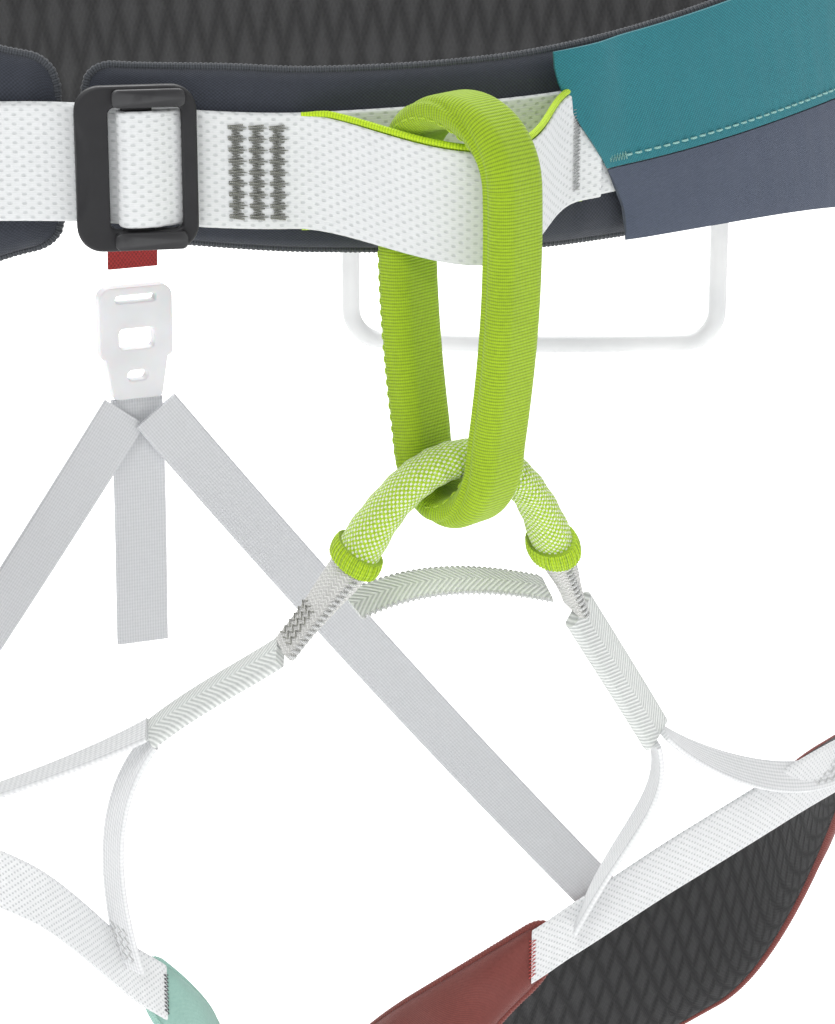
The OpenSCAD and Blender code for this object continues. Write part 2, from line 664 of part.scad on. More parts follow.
leg_binding_left();
leg_riser_tab_left();
v_strap_right();
v_strand_inner_right();
v_strand_outer_right();
leg_band_right();
leg_foam_right();
leg_mesh_right();
leg_fabric_right();
leg_binding_right();
leg_riser_tab_right();
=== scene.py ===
"""Looks of a climbing harness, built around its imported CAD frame.

Lengths are in millimetres until a mesh is made, and the row frame's directions hold throughout:
+Z up, -Y to the front. Every woven surface carries a UV map in metres, with U along the yarn's
run and V across it, which drives the weave of its material.
"""
import math

import bpy
import bmesh
import numpy as np
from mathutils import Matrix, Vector


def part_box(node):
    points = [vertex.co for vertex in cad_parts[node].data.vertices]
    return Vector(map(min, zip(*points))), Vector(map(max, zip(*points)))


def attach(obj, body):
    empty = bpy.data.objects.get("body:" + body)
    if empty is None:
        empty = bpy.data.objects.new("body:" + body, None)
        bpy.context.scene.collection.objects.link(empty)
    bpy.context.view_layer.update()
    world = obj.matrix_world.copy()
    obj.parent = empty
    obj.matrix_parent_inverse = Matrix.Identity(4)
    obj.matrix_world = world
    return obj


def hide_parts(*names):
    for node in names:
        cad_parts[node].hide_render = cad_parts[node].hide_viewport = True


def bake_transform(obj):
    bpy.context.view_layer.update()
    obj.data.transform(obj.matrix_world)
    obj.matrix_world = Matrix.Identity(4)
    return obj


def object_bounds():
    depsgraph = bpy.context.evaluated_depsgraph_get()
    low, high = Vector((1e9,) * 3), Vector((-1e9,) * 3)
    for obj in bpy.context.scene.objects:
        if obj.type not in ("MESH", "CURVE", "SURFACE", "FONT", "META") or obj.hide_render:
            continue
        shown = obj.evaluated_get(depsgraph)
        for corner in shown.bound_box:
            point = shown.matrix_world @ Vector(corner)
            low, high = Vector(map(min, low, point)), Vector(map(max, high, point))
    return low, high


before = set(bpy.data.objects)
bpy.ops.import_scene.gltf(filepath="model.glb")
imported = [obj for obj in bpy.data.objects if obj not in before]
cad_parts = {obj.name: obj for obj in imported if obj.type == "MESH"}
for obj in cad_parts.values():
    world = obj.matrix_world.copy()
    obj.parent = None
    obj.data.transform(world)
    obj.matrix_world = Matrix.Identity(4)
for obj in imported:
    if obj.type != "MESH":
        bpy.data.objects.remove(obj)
cad_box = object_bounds()
MM = 0.001
UP = np.array([0.0, 0.0, 1.0])


def box_mm(node):
    """Lowest and highest corner of a CAD node, in millimetres."""
    return [np.array(corner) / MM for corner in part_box(node)]


# ---------------------------------------------------------------- shape of the frame
foam_t = 6.0
lay = 0.2
free = 0.4
web_w = 30.0
web_t = 1.8
fabric_out = foam_t / 2 + 1.2
web_mid = fabric_out + lay + web_t / 2
web_out = fabric_out + lay + web_t
fold_in = web_out + lay
fold_mid = fold_in + web_t / 2
fold_out = fold_in + web_t
ring_power = 2.05
nose, nose_w = 3.0, 50.0
belt_half_w = box_mm("belt_foam")[1][0] - foam_t / 2
belt_half_d = box_mm("belt_foam")[1][1] - foam_t / 2
tongue_t, left_end_t = -116.2, 241.4
buckle_turn, fold_end_t = -112.4, -100.4
right_panel, left_panel = (-76.1, 62.0), (118.0, 214.0)


def ramp(a, b, v):
    u = np.clip((v - a) / (b - a), 0, 1)
    return u * u * (3 - 2 * u)


def unit(v):
    v = np.asarray(v, float)
    return v / np.linalg.norm(v, axis=-1, keepdims=True)


def mix(a, b, u):
    return np.asarray(a, float) * (1 - u) + np.asarray(b, float) * u


def distances(path):
    """Distance along a path at each of its points."""
    return np.concatenate([[0], np.cumsum(np.linalg.norm(np.diff(path, axis=0), axis=1))])


def at_distances(want, length, path):
    """Points of a path at the wanted distances; length is the path's own distances."""
    return np.stack([np.interp(want, length, path[:, k]) for k in range(path.shape[1])], -1)


def wrapped_mean(path, reach):
    """A closed path's points, each averaged with its neighbours up to reach away."""
    width = 2 * reach + 1
    columns = [np.convolve(np.pad(path[:, k], reach, mode="wrap"), np.ones(width) / width, "valid")
               for k in range(path.shape[1])]
    return np.stack(columns, 1)


def belt_lift(t):
    """How far the belt rides up beside the sagging tie-in point, at direction t."""
    a = (t + 270) % 360 - 180
    left = 5.2 * ramp(-8, -32, a) * ramp(-75, -50, a)
    right = 6.3 * ramp(6, 46, a) * ramp(84, 56, a)
    return left + right


def ring_mid(t):
    c, s = math.cos(math.radians(t)), math.sin(math.radians(t))
    x = belt_half_w * math.copysign(abs(c) ** (2 / ring_power), c)
    y = belt_half_d * math.copysign(abs(s) ** (2 / ring_power), s)
    sag = nose * math.exp(-(x / nose_w) ** 2) if y < 0 else 0.0
    return np.array([x, y - sag, belt_lift(t)])


def ring_out(t):
    d = ring_mid(t + 0.5) - ring_mid(t - 0.5)
    return unit([d[1], -d[0], 0.0])


def ring_at(t, off, z=0.0):
    return ring_mid(t) + off * ring_out(t) + z * UP


def ring_speed(t):
    return float(np.linalg.norm(ring_mid(t + 0.5) - ring_mid(t - 0.5)))


def pad_grow(t):
    return 23 * ramp(0, 100, abs((t + 270) % 360 - 180))


def pad_top(t):
    return (24 + pad_grow(t)) * (0.86 + 0.14 * ramp(0, 14, min(t - tongue_t, left_end_t - t)))


def pad_bot(t):
    low = min(0.68 + 0.32 * ramp(0, 40, t - tongue_t), 0.74 + 0.26 * ramp(0, 16, left_end_t - t))
    return -(26 + pad_grow(t)) * low


back_y = ring_mid(90)[1]
belay_w, belay_t, belay_r, belay_turn = 17.0, 9.0, 18.0, 25.0
belay_y = float(sum(c[1] for c in box_mm("belay_loop_sheath")) / 2)
belay_top = box_mm("belay_loop_sheath")[1][2]
belay_foot = box_mm("belay_loop_sheath")[0][2]
arc_top = belay_top - belay_t / 2 - belay_r
arc_low = belay_foot + belay_t / 2 + belay_r

arch_top = arc_low - belay_r + belay_t / 2 + 6.9
arch = np.array([[-27.5, belay_y + 7, arch_top - 25.7], [-13, belay_y - 4, arch_top + 13],
                 [16, belay_y - 4, arch_top + 12.1], [31, belay_y + 7, arch_top - 30.2]])
foot = {"left": np.array([-45, belay_y + 12, arch_top - 49]),
        "right": np.array([39.5, belay_y + 11, arch_top - 48])}
split = {"left": np.array([-75, belay_y + 35, arch_top - 77]),
         "right": np.array([76.6, belay_y + 35, arch_top - 100])}
# Leg loops: side, x of the centre, z of the top edge at the centre, sideways slope
leg_of = {"left": (-1, 113, arch_top - 179, 0.64), "right": (1, 106, arch_top - 199, 0.44)}
leg_y = belay_y + 139
leg_half_w, leg_half_d, leg_slope = 84.0, 80.0, 0.71
pad_first, pad_last, band_first, band_last = -28.0, 238.0, 239.0, 331.0
leg_band_w, v_strap_w, riser_w = 17.0, 12.0, 17.0
band_rise = {"left": 8.0, "right": 1.5}
leg_mm_per_degree = 1.43
panel_mm_per_degree = 2.6
riser_x, riser_y, riser_top = -15.0, back_y + web_out + 1.2, -76.0
riser_low = riser_top - 43
riser_on_leg = 63.0


def leg_top(leg, a):
    c, s = math.cos(math.radians(a)), math.sin(math.radians(a))
    return leg[2] + leg[3] * leg_half_w * c - leg_slope * leg_half_d * s


def leg_at(leg, a, off, down):
    c, s = math.cos(math.radians(a)), math.sin(math.radians(a))
    return np.array([leg[0] * (leg[1] + (leg_half_w + off) * c), leg_y + (leg_half_d + off) * s,
                     leg_top(leg, a) - down])


def leg_out(leg, a):
    return unit(leg_at(leg, a, 1, 0) - leg_at(leg, a, 0, 0))


def leg_h(a):
    return 20 + 56 * ramp(0, 60, min(a - pad_first, pad_last - a))


def bezier(p, u):
    return (p[0] * (1 - u) ** 3 + p[1] * 3 * u * (1 - u) ** 2 + p[2] * 3 * u * u * (1 - u)
            + p[3] * u ** 3)


def bezier_dir(p, u):
    return unit((p[1] - p[0]) * (1 - u) ** 2 + (p[2] - p[1]) * 2 * u * (1 - u) + (p[3] - p[2]) * u * u)


# ---------------------------------------------------------------- mesh building
def add_object(name, data):
    obj = bpy.data.objects.new(name, data)
    bpy.context.scene.collection.objects.link(obj)
    return obj


class Shape:
    """Vertices, faces and weave coordinates that grow into one mesh."""

    def __init__(self):
        self.points, self.faces, self.weave, self.count = [], [], [], 0

    def loft(self, rows, across=None, closed=True, looped=False):
        """Quads over rows of points. closed joins each row's ends, looped joins the last row
        to the first. across gives V for each point of a row, and one more if closed."""
        rows = np.asarray(rows, float)
        n, m = rows.shape[:2]
        if across is None:
            ring = rows[n // 2]
            ring = np.vstack([ring, ring[:1]]) if closed else ring
            across = distances(ring)
        path = rows.mean(1)
        path = np.vstack([path, path[:1]]) if looped else path
        along = distances(path)
        i, j = np.meshgrid(np.arange(n if looped else n - 1), np.arange(m if closed else m - 1),
                           indexing="ij")
        i, j = i.ravel(), j.ravel()
        i1, j1 = (i + 1) % n, (j + 1) % m
        quads = self.count + np.stack([i * m + j, i * m + j1, i1 * m + j1, i1 * m + j], 1)
        corner = [(i, j), (i, j + 1), (i + 1, j + 1), (i + 1, j)]
        uv = np.stack([np.stack([along[a], np.asarray(across)[b]], 1) for a, b in corner], 1)
        self.points.append(rows.reshape(-1, 3))
        self.faces += quads.tolist()
        self.weave.append(uv.reshape(-1, 2))
        if closed and not looped:
            for row, turn in ((0, 1), (n - 1, -1)):
                self.faces.append([self.count + row * m + k for k in range(m)][::-turn])
                cap = np.stack([np.full(m, along[row]), np.asarray(across)[:m]], 1)
                self.weave.append(cap[::-turn])
        self.count += n * m
        return self

    def tube(self, path, radius, normal=UP, sides=8, looped=False):
        """Round tube along a path; radius is one number or one per point."""
        path = np.asarray(path, float)
        before = np.roll(path, 1, 0) if looped else np.vstack([path[:1], path[:-1]])
        after = np.roll(path, -1, 0) if looped else np.vstack([path[1:], path[-1:]])
        run = unit(after - before)
        side = unit(np.cross(run, np.broadcast_to(normal, path.shape)))
        rise = np.cross(side, run)
        angle = np.arange(sides) * 2 * math.pi / sides
        reach = np.broadcast_to(np.asarray(radius, float), (len(path),))[:, None, None]
        ring = (side[:, None] * np.cos(angle)[None, :, None]
                + rise[:, None] * np.sin(angle)[None, :, None])
        return self.loft(path[:, None] + ring * reach, looped=looped)

    def make(self, name, paint, body, slot, nodes=(), second=None):
        """One object in the row frame. second is (body, start, end); when it is given, the piece keeps
        its place with its transform baked in instead of being attached to body, and the three values
        themselves are not used.
        """
        mesh = bpy.data.meshes.new(name)
        mesh.from_pydata((np.vstack(self.points) * MM).tolist(), [], self.faces)
        layer = mesh.uv_layers.new(name="weave")
        layer.data.foreach_set("uv", (np.vstack(self.weave) * MM).astype(np.float32).ravel())
        work = bmesh.new()
        work.from_mesh(mesh)
        bmesh.ops.recalc_face_normals(work, faces=work.faces)
        work.to_mesh(mesh)
        work.free()
        mesh.shade_smooth()
        mesh.set_sharp_from_angle(angle=math.radians(52))
        mesh.materials.append(paint)
        obj = add_object(name, mesh)
        if second:
            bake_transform(obj)
        else:
            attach(obj, body)
        if nodes:
            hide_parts(*nodes)
        return obj


def webbing_profile(w, t, n=12):
    """Section of a strap: columns are the place across, the height, and V."""
    r = t / 2
    flat = np.linspace(-w / 2 + r, w / 2 - r, n)
    turn = np.radians(np.linspace(75, -75, 5))
    right = np.stack([w / 2 - r + r * np.cos(turn), r * np.sin(turn)], 1)
    front = np.stack([flat, np.full(n, r)], 1)
    section = np.vstack([front, right, -front, -right])
    across = np.concatenate([section[:, 0], section[:1, 0]])
    return section, across


def strap_rows(centre, side, face, section):
    centre, side, face = (np.asarray(a, float) for a in (centre, side, face))
    return (centre[:, None] + side[:, None] * section[None, :, :1]
            + face[:, None] * section[None, :, 1:2])


def bezier_strap(p, side0, side1, w, t, n=40, u0=0.0, u1=1.0):
    """Rows of a flat strap along a cubic curve, and its frames for stitching."""
    p = [np.asarray(q, float) for q in p]
    us = np.linspace(u0, u1, n + 1)
    centre = np.array([bezier(p, u) for u in us])
    run = np.array([bezier_dir(p, u) for u in us])
    aim = np.array([unit(mix(side0, side1, u)) for u in us])
    face = unit(np.cross(run, aim))
    side = np.cross(face, run)
    section, across = webbing_profile(w, t)
    return strap_rows(centre, side, face, section), across, (centre, side, face)


def ring_strap(ts, off, low, high, t):
    """Webbing that stands on edge round the waist ring; off, low and high are functions."""
    rows = []
    for a in ts:
        h = high(a) - low(a)
        section, across = webbing_profile(h, t)
        mid, out = ring_mid(a), ring_out(a)
        z = (high(a) + low(a)) / 2
        rows.append([mid + out * (off(a) + s[1]) + UP * (z + s[0]) for s in section])
    return np.array(rows), across


def stitch_run(shape, at, s0, s1, pitch, length, radius, lift=0.1):
    """Dashed stitches: at(s) gives a point and an outward direction at distance s."""
    count = int((s1 - s0) / pitch)
    for k in range(count):
        bits = [at(s0 + k * pitch + length * f) for f in (0, 0.2, 0.5, 0.8, 1)]
        rise = [-radius, 0.5 * lift, lift, 0.5 * lift, -radius]
        path = [p + unit(n) * r for (p, n), r in zip(bits, rise)]
        shape.tube(path, [radius * 0.6, radius, radius, radius, radius * 0.6],
                   normal=unit(bits[2][1]), sides=6)


def zigzag(shape, at, x0, x1, y0, y1, pitch, radius, teeth=(1.0, 0.0)):
    """Bartack thread to and fro between x0 and x1 while it climbs from y0 to y1 on a patch.
    teeth is the spacing and reach of longer stitches at both sides."""
    count = int(abs(y1 - y0) / pitch)
    path, face = [], None
    for k in range(count + 1):
        y = y0 + (y1 - y0) * k / count
        tooth = teeth[1] * (abs((y / teeth[0]) % 1 * 2 - 1) * 2 - 1)
        p, face = at(x0 - tooth if k % 2 else x1 + tooth, y)
        path.append(p + unit(face) * radius * (0.5 + 0.5 * (k % 2)))
    shape.tube(path, radius, normal=unit(face), sides=5)


# ---------------------------------------------------------------- materials
def linear(r, g, b):
    def one(c):
        c = c / 255
        return c / 12.92 if c <= 0.04045 else ((c + 0.055) / 1.055) ** 2.4
    return (one(r), one(g), one(b), 1.0)


class Paint:
    """A procedural material, built node by node."""

    def __init__(self, name, rough=0.8, **sockets):
        self.material = bpy.data.materials.new(name)
        self.material.use_nodes = True
        self.tree = self.material.node_tree
        self.shader = self.tree.nodes["Principled BSDF"]
        self.shader.inputs["Roughness"].default_value = rough
        for socket, value in sockets.items():
            self.shader.inputs[socket.replace("_", " ")].default_value = value

    def node(self, kind, *inputs, **settings):
        n = self.tree.nodes.new(kind)
        for key, value in settings.items():
            setattr(n, key, value)
        for k, value in enumerate(inputs):
            if isinstance(value, bpy.types.NodeSocket):
                self.tree.links.new(value, n.inputs[k])
            elif value is not None:
                n.inputs[k].default_value = value
        return n

    def calc(self, operation, a, b=0.0, c=0.0):
        return self.node("ShaderNodeMath", a, b, c, operation=operation).outputs[0]

    def weave_uv(self):
        """U and V in millimetres."""
        uv = self.node("ShaderNodeUVMap", uv_map="weave").outputs[0]
        parts = self.node("ShaderNodeSeparateXYZ", uv)
        return tuple(self.calc("MULTIPLY", parts.outputs[k], 1000) for k in (0, 1))

    def wave(self, x, pitch):
        """Sine of a length in millimetres, from -1 to 1."""
        return self.calc("SINE", self.calc("MULTIPLY", x, 2 * math.pi / pitch))

    def lift(self, x):
        """From -1..1 to 0..1."""
        return self.calc("MULTIPLY_ADD", x, 0.5, 0.5)

    def noise(self, scale, detail=3.0):
        place = self.node("ShaderNodeTexCoord").outputs["Object"]
        n = self.node("ShaderNodeTexNoise", place)
        n.inputs["Scale"].default_value = scale
        n.inputs["Detail"].default_value = detail
        return n.outputs[0]

    def span(self, x, low, high, to_low=0.0, to_high=1.0):
        n = self.node("ShaderNodeMapRange", x, low, high, to_low, to_high)
        n.interpolation_type = "SMOOTHSTEP"
        return n.outputs[0]

    def blend(self, factor, a, b):
        n = self.node("ShaderNodeMix", data_type="RGBA")
        for socket, value in ((n.inputs[0], factor), (n.inputs[6], a), (n.inputs[7], b)):
            if isinstance(value, bpy.types.NodeSocket):
                self.tree.links.new(value, socket)
            else:
                socket.default_value = value
        return n.outputs[2]

    def done(self, colour, height, depth, rough=None):
        """Colour and bump: height runs 0..1 and stands for depth millimetres."""
        self.tree.links.new(colour, self.shader.inputs["Base Color"])
        bump = self.node("ShaderNodeBump")
        bump.inputs["Strength"].default_value = 1.0
        bump.inputs["Distance"].default_value = depth * MM
        self.tree.links.new(height, bump.inputs["Height"])
        self.tree.links.new(bump.outputs[0], self.shader.inputs["Normal"])
        if rough is not None:
            self.tree.links.new(rough, self.shader.inputs["Roughness"])
        return self.material


def cloth(name, dark, light, height_of, depth, blotch=0.5, rough=0.85, sheen=0.15):
    """Fabric whose yarns run from dark in the hollows to light on the crowns: painted shade in the
    weave's hollows and a painted highlight on its crowns, with random fuzz and stains over them.
    """
    p = Paint(name, rough=rough, Sheen_Weight=sheen, Sheen_Roughness=0.5)
    u, v = p.weave_uv()
    height = height_of(p, u, v)
    fuzz = p.noise(900, 2.0)
    stain = p.span(p.noise(28, 4.0), 0.35, 0.7)
    # Random fuzz plus the weave's height, so the hollows get painted shade and the crowns a painted
    # highlight
    tone = p.calc("MULTIPLY_ADD", fuzz, 0.35, p.calc("MULTIPLY", height, 0.75))
    base = p.blend(tone, dark, light)
    soiled = p.blend(p.calc("MULTIPLY", stain, blotch * 0.22), base, dark)
    full = p.calc("MULTIPLY_ADD", fuzz, 0.25, height)
    return p.done(soiled, full, depth)


def plain_weave(along, across):
    def height(p, u, v):
        return p.lift(p.calc("MULTIPLY", p.wave(u, along), p.wave(v, across)))
    return height


def pitted_weave(along, across):
    """Webbing: tight yarns with a small hole at each staggered crossing."""
    def height(p, u, v):
        cross = p.calc("MULTIPLY", p.wave(u, 2 * along), p.wave(v, 2 * across))
        hole = p.span(cross, 0.25, 0.95)
        yarns = p.lift(p.wave(v, across / 2))
        ground = p.calc("MULTIPLY_ADD", yarns, 0.16, 0.84)
        return p.calc("SUBTRACT", ground, p.calc("MULTIPLY", hole, 0.8))
    return height


def cross_ribs(pitch, yarn=0.6):
    """Ribs across the run, each crossed by fine yarns."""
    def height(p, u, v):
        rib = p.calc("ABSOLUTE", p.wave(u, 2 * pitch))
        return p.calc("MULTIPLY_ADD", p.lift(p.wave(v, yarn)), 0.25, p.calc("MULTIPLY", rib, 0.75))
    return height


def long_ribs(pitch, yarn=1.0):
    """Ribs along the run, crossed by the weft."""
    def height(p, u, v):
        rib = p.calc("ABSOLUTE", p.wave(v, 2 * pitch))
        return p.calc("MULTIPLY_ADD", p.lift(p.wave(u, yarn)), 0.3, p.calc("MULTIPLY", rib, 0.7))
    return height


def herringbone(pitch, turn):
    """Slanting ribs whose slope flips from column to column."""
    def height(p, u, v):
        zig = p.calc("PINGPONG", v, turn)
        return p.lift(p.calc("SINE", p.calc("MULTIPLY", p.calc("ADD", u, zig), 2 * math.pi / pitch)))
    return height


def diamonds(wide, tall):
    """Raised diamonds of a spacer mesh over its small holes."""
    def height(p, u, v):
        a = p.calc("DIVIDE", u, wide)
        b = p.calc("DIVIDE", v, tall)
        one = p.calc("PINGPONG", p.calc("ADD", a, b), 0.5)
        two = p.calc("PINGPONG", p.calc("SUBTRACT", a, b), 0.5)
        big = p.span(p.calc("MINIMUM", one, two), 0.0, 0.34)
        holes = p.lift(p.calc("MULTIPLY", p.wave(u, 1.5), p.wave(v, 1.5)))
        return p.calc("MULTIPLY_ADD", holes, 0.22, p.calc("MULTIPLY", big, 0.78))
    return height


def knit(name, base, shade, white):
    """Two-colour knit: rows of white stitches over a coloured ground, with painted shade darkening the
    ground in the hollows between rows.
    """
    p = Paint(name, rough=0.85, Sheen_Weight=0.2, Sheen_Roughness=0.5)
    u, v = p.weave_uv()
    slant = p.calc("PINGPONG", v, 0.55)
    row = p.calc("ADD", u, p.calc("MULTIPLY", slant, 0.8))
    rows = p.lift(p.wave(row, 1.45))
    columns = p.calc("ABSOLUTE", p.wave(v, 2.2))
    brick = p.lift(p.calc("MULTIPLY", p.wave(u, 1.5), p.wave(v, 1.5)))
    stitch = p.calc("MULTIPLY", p.span(brick, 0.5, 0.68), p.span(columns, 0.05, 0.35))
    fuzz = p.noise(800, 2.0)
    # The ground runs from painted shade in the hollows between rows to the knit's own colour on their
    # crowns, with random fuzz
    ground = p.blend(p.calc("MULTIPLY_ADD", fuzz, 0.5, p.calc("MULTIPLY", rows, 0.5)), shade, base)
    colour = p.blend(stitch, ground, white)
    height = p.calc("MULTIPLY_ADD", columns, 0.4, p.calc("MULTIPLY", rows, 0.6))
    return p.done(colour, height, 0.35)


def metal(name, body, worn, rough):
    """Anodised metal: fine grain, with the coating rubbed along the edges."""
    p = Paint(name, rough=rough, Metallic=0.35, Specular_IOR_Level=0.35)
    grain = p.noise(1500, 2.0)
    scuff = p.noise(160, 5.0)
    edge = p.span(p.node("ShaderNodeNewGeometry").outputs["Pointiness"], 0.53, 0.62)
    rub = p.calc("MULTIPLY", edge, p.span(scuff, 0.3, 0.6, 0.1, 0.6))
    colour = p.blend(rub, body, worn)
    uneven = p.calc("MULTIPLY_ADD", p.span(scuff, 0.3, 0.7), 0.18, rough - 0.06)
    return p.done(colour, grain, 0.02, rough=uneven)


def moulded(name, body, deep, rough, **sockets):
    """Moulded plastic with a faint grain and uneven tone."""
    p = Paint(name, rough=rough, **sockets)
    cloud = p.span(p.noise(40, 3.0), 0.3, 0.7)
    grain = p.noise(2200, 2.0)
    colour = p.blend(p.calc("MULTIPLY", cloud, 0.5), body, deep)
    return p.done(colour, grain, 0.03, rough=p.calc("MULTIPLY_ADD", cloud, 0.12, rough - 0.05))


def yarn(name, dark, light):
    """Sewing thread: twisted plies, with painted shade in the grooves between plies and a painted
    highlight on their crowns.
    """
    p = Paint(name, rough=0.6, Sheen_Weight=0.2)
    u, v = p.weave_uv()
    twist = p.lift(p.calc("SINE", p.calc("MULTIPLY", p.calc("ADD", u, v), 2 * math.pi / 0.5)))
    return p.done(p.blend(twist, dark, light), twist, 0.08)


# Each cloth's darker colour is painted shade for its weave's hollows and its lighter colour a painted
# highlight for the crowns
white_web = cloth("white_webbing", linear(184, 188, 189), linear(228, 230, 231),
                  pitted_weave(1.9, 1.2), 0.14)
smooth_web = cloth("smooth_webbing", linear(186, 188, 190), linear(236, 237, 238),
                   long_ribs(1.1, 1.6), 0.10)
pale_web = cloth("riser_webbing", linear(188, 190, 193), linear(218, 219, 222),
                 long_ribs(0.9, 1.2), 0.06)
ribbed_web = cloth("ribbed_webbing", linear(178, 182, 180), linear(238, 241, 238),
                   herringbone(1.7, 40.0), 0.22)
braid_web = cloth("braided_webbing", linear(190, 190, 187), linear(232, 232, 229),
                  herringbone(1.2, 0.8), 0.3)
elastic = cloth("woven_elastic", linear(176, 179, 181), linear(234, 235, 236),
                pitted_weave(1.0, 0.9), 0.12)
lime_sheath = cloth("lime_sheath", linear(104, 128, 12), linear(172, 208, 22), cross_ribs(0.85),
                    0.2, blotch=0.9)
lime_lining = cloth("lime_lining", linear(150, 186, 12), linear(204, 238, 30), cross_ribs(0.8), 0.2)
lime_cuff = cloth("lime_cuff", linear(126, 160, 14), linear(200, 236, 36), long_ribs(0.8, 1.2), 0.35)
# lime_knit: the knit's own colour, then painted shade for the hollows between rows, then the white of
# the stitches
lime_knit = knit("lime_knit", linear(186, 222, 40), linear(146, 180, 20), linear(232, 238, 222))
core_web = cloth("core_webbing", linear(150, 146, 120), linear(222, 216, 186), plain_weave(1.6, 1.2),
                 0.2)
navy = cloth("navy_fabric", linear(28, 31, 38), linear(56, 61, 73), plain_weave(1.1, 1.1), 0.08)
overlock = cloth("overlock_thread", linear(30, 32, 36), linear(78, 82, 88), cross_ribs(0.7), 0.2)
teal = cloth("teal_fabric", linear(8, 84, 96), linear(38, 132, 142), plain_weave(1.0, 1.0), 0.07)
slate = cloth("slate_fabric", linear(50, 58, 74), linear(84, 93, 112), plain_weave(1.1, 1.1), 0.07)
mint = cloth("mint_fabric", linear(120, 168, 156), linear(178, 216, 204), plain_weave(0.9, 0.9), 0.09)
brick = cloth("red_fabric", linear(90, 38, 34), linear(142, 70, 62), plain_weave(1.0, 1.0), 0.09)
red_web = cloth("red_webbing", linear(96, 18, 20), linear(168, 42, 40), plain_weave(1.6, 1.2), 0.18)
spacer = cloth("spacer_mesh", linear(34, 34, 35), linear(66, 66, 67), diamonds(8.5, 14.0), 0.6,
               blotch=0.2, sheen=0.05)
black_web = cloth("keeper_elastic", linear(14, 15, 17), linear(48, 50, 54), long_ribs(1.0, 1.0), 0.15)
grey_cord = cloth("grey_cord", linear(56, 58, 62), linear(142, 145, 150), herringbone(2.0, 1.2), 0.35)
anodised = metal("anodised_black", linear(46, 46, 48), linear(128, 129, 130), 0.48)
anodised_grey = metal("anodised_grey", linear(50, 50, 52), linear(128, 129, 130), 0.46)
tube_white = moulded("tube_white", linear(232, 233, 233), linear(205, 207, 209), 0.42,
                     Coat_Weight=0.15, Coat_Roughness=0.3)
plastic_white = moulded("plastic_white", linear(226, 228, 230), linear(204, 206, 208), 0.38,
                        Subsurface_Weight=0.25, Subsurface_Scale=0.004)
# Each thread's darker colour is painted shade in the grooves between plies, its lighter one a painted
# highlight on their crowns
thread_grey = yarn("thread_grey", linear(96, 98, 90), linear(190, 190, 180))
thread_pale = yarn("thread_pale", linear(170, 172, 172), linear(236, 237, 236))
thread_mint = yarn("thread_mint", linear(96, 150, 146), linear(176, 226, 218))
thread_lime = yarn("thread_lime", linear(120, 150, 14), linear(206, 240, 50))
thread_dark = yarn("thread_dark", linear(26, 28, 30), linear(74, 78, 82))
thread_red = yarn("thread_red", linear(150, 30, 28), linear(222, 84, 74))
thread_blue = yarn("thread_blue", linear(20, 40, 110), linear(70, 110, 190))


# ---------------------------------------------------------------- waist pad
def pad_profile(n=14):
    """Places down a pad's face, closer together at its edges."""
    return np.sin(np.linspace(-math.pi / 2, math.pi / 2, n + 1))


def end_round(d, r=7.0):
    """How far a pad's rounded corner has come in, at distance d from its end."""
    return r - math.sqrt(max(0.0, r * r - (r - min(d, r)) ** 2))


def pad_edges(t):
    """Lower and upper edge of the waist pad, with rounded corners."""
    d = min(t - tongue_t, left_end_t - t) * ring_speed(t)
    return pad_bot(t) + end_round(d), pad_top(t) - end_round(d)


def pad_depth(t, s):
    """Half thickness of the waist pad at place s of its face."""
    d = min(t - tongue_t, left_end_t - t) * ring_speed(t)
    end = 0.35 + 0.65 * ramp(0, 9, d)
    return (1.1 + 3.05 * (1 - abs(s) ** 5) ** 0.6) * end


def puff(t, z):
    """Foam that stands proud beside the webbing, with soft uneven dents."""
    beside = math.exp(-((abs(z) - 22) / 5) ** 2)
    dents = 0.35 * math.sin(t * 1.7 + z * 0.11) + 0.25 * math.sin(t * 3.1 - z * 0.17)
    return beside * (1.0 + dents)


pad_ts = np.concatenate([tongue_t + np.linspace(0, 4, 14),
                         np.linspace(tongue_t + 4.6, left_end_t - 4.6, 420),
                         left_end_t - np.linspace(4, 0, 14)])


def build_belt():
    body = Shape()
    faces = pad_profile()
    rows, lining = [], []
    for t in pad_ts:
        low, high = pad_edges(t)
        mid, out = ring_mid(t), ring_out(t)
        fade = ramp(0, 9, min(t - tongue_t, left_end_t - t) * ring_speed(t))
        heights = [(low + high) / 2 + (high - low) / 2 * s for s in faces]
        outer = [mid + out * (pad_depth(t, s) + puff(t, z) * (1 - abs(s) ** 6) * fade) + UP * z
                 for s, z in zip(faces, heights)]
        inner = [mid - out * pad_depth(t, s) + UP * z for s, z in zip(faces, heights)]
        rows.append(outer + inner[::-1])
        near = [mid - out * (pad_depth(t, s) + 0.25) + UP * z for s, z in zip(faces, heights)]
        far = [mid - out * (pad_depth(t, s) + 0.85 + 0.25 * (1 - s * s)) + UP * z
               for s, z in zip(faces, heights)]
        lining.append(near + far[::-1])
    half = np.linspace(0, 60, len(faces))
    across = np.concatenate([half, half[::-1], half[:1]])
    body.loft(rows, across=across)
    pad = body.make("belt_pad", navy, "waist_belt", "navy_fabric", ("belt_foam", "belt_outer_fabric"))
    Shape().loft(lining, across=across).make("belt_lining", spacer, "waist_belt", "mesh",
                                             ("belt_mesh_lining",))
    edge = ([ring_at(t, 0, pad_edges(t)[1] + 0.3) for t in pad_ts]
            + [ring_at(t, 0, pad_edges(t)[0] - 0.3) for t in pad_ts[::-1]])
    scalloped_edge(edge, 1.35, 1.3).make("belt_edging", overlock, "waist_belt", "binding",
                                        ("belt_edge_binding",))


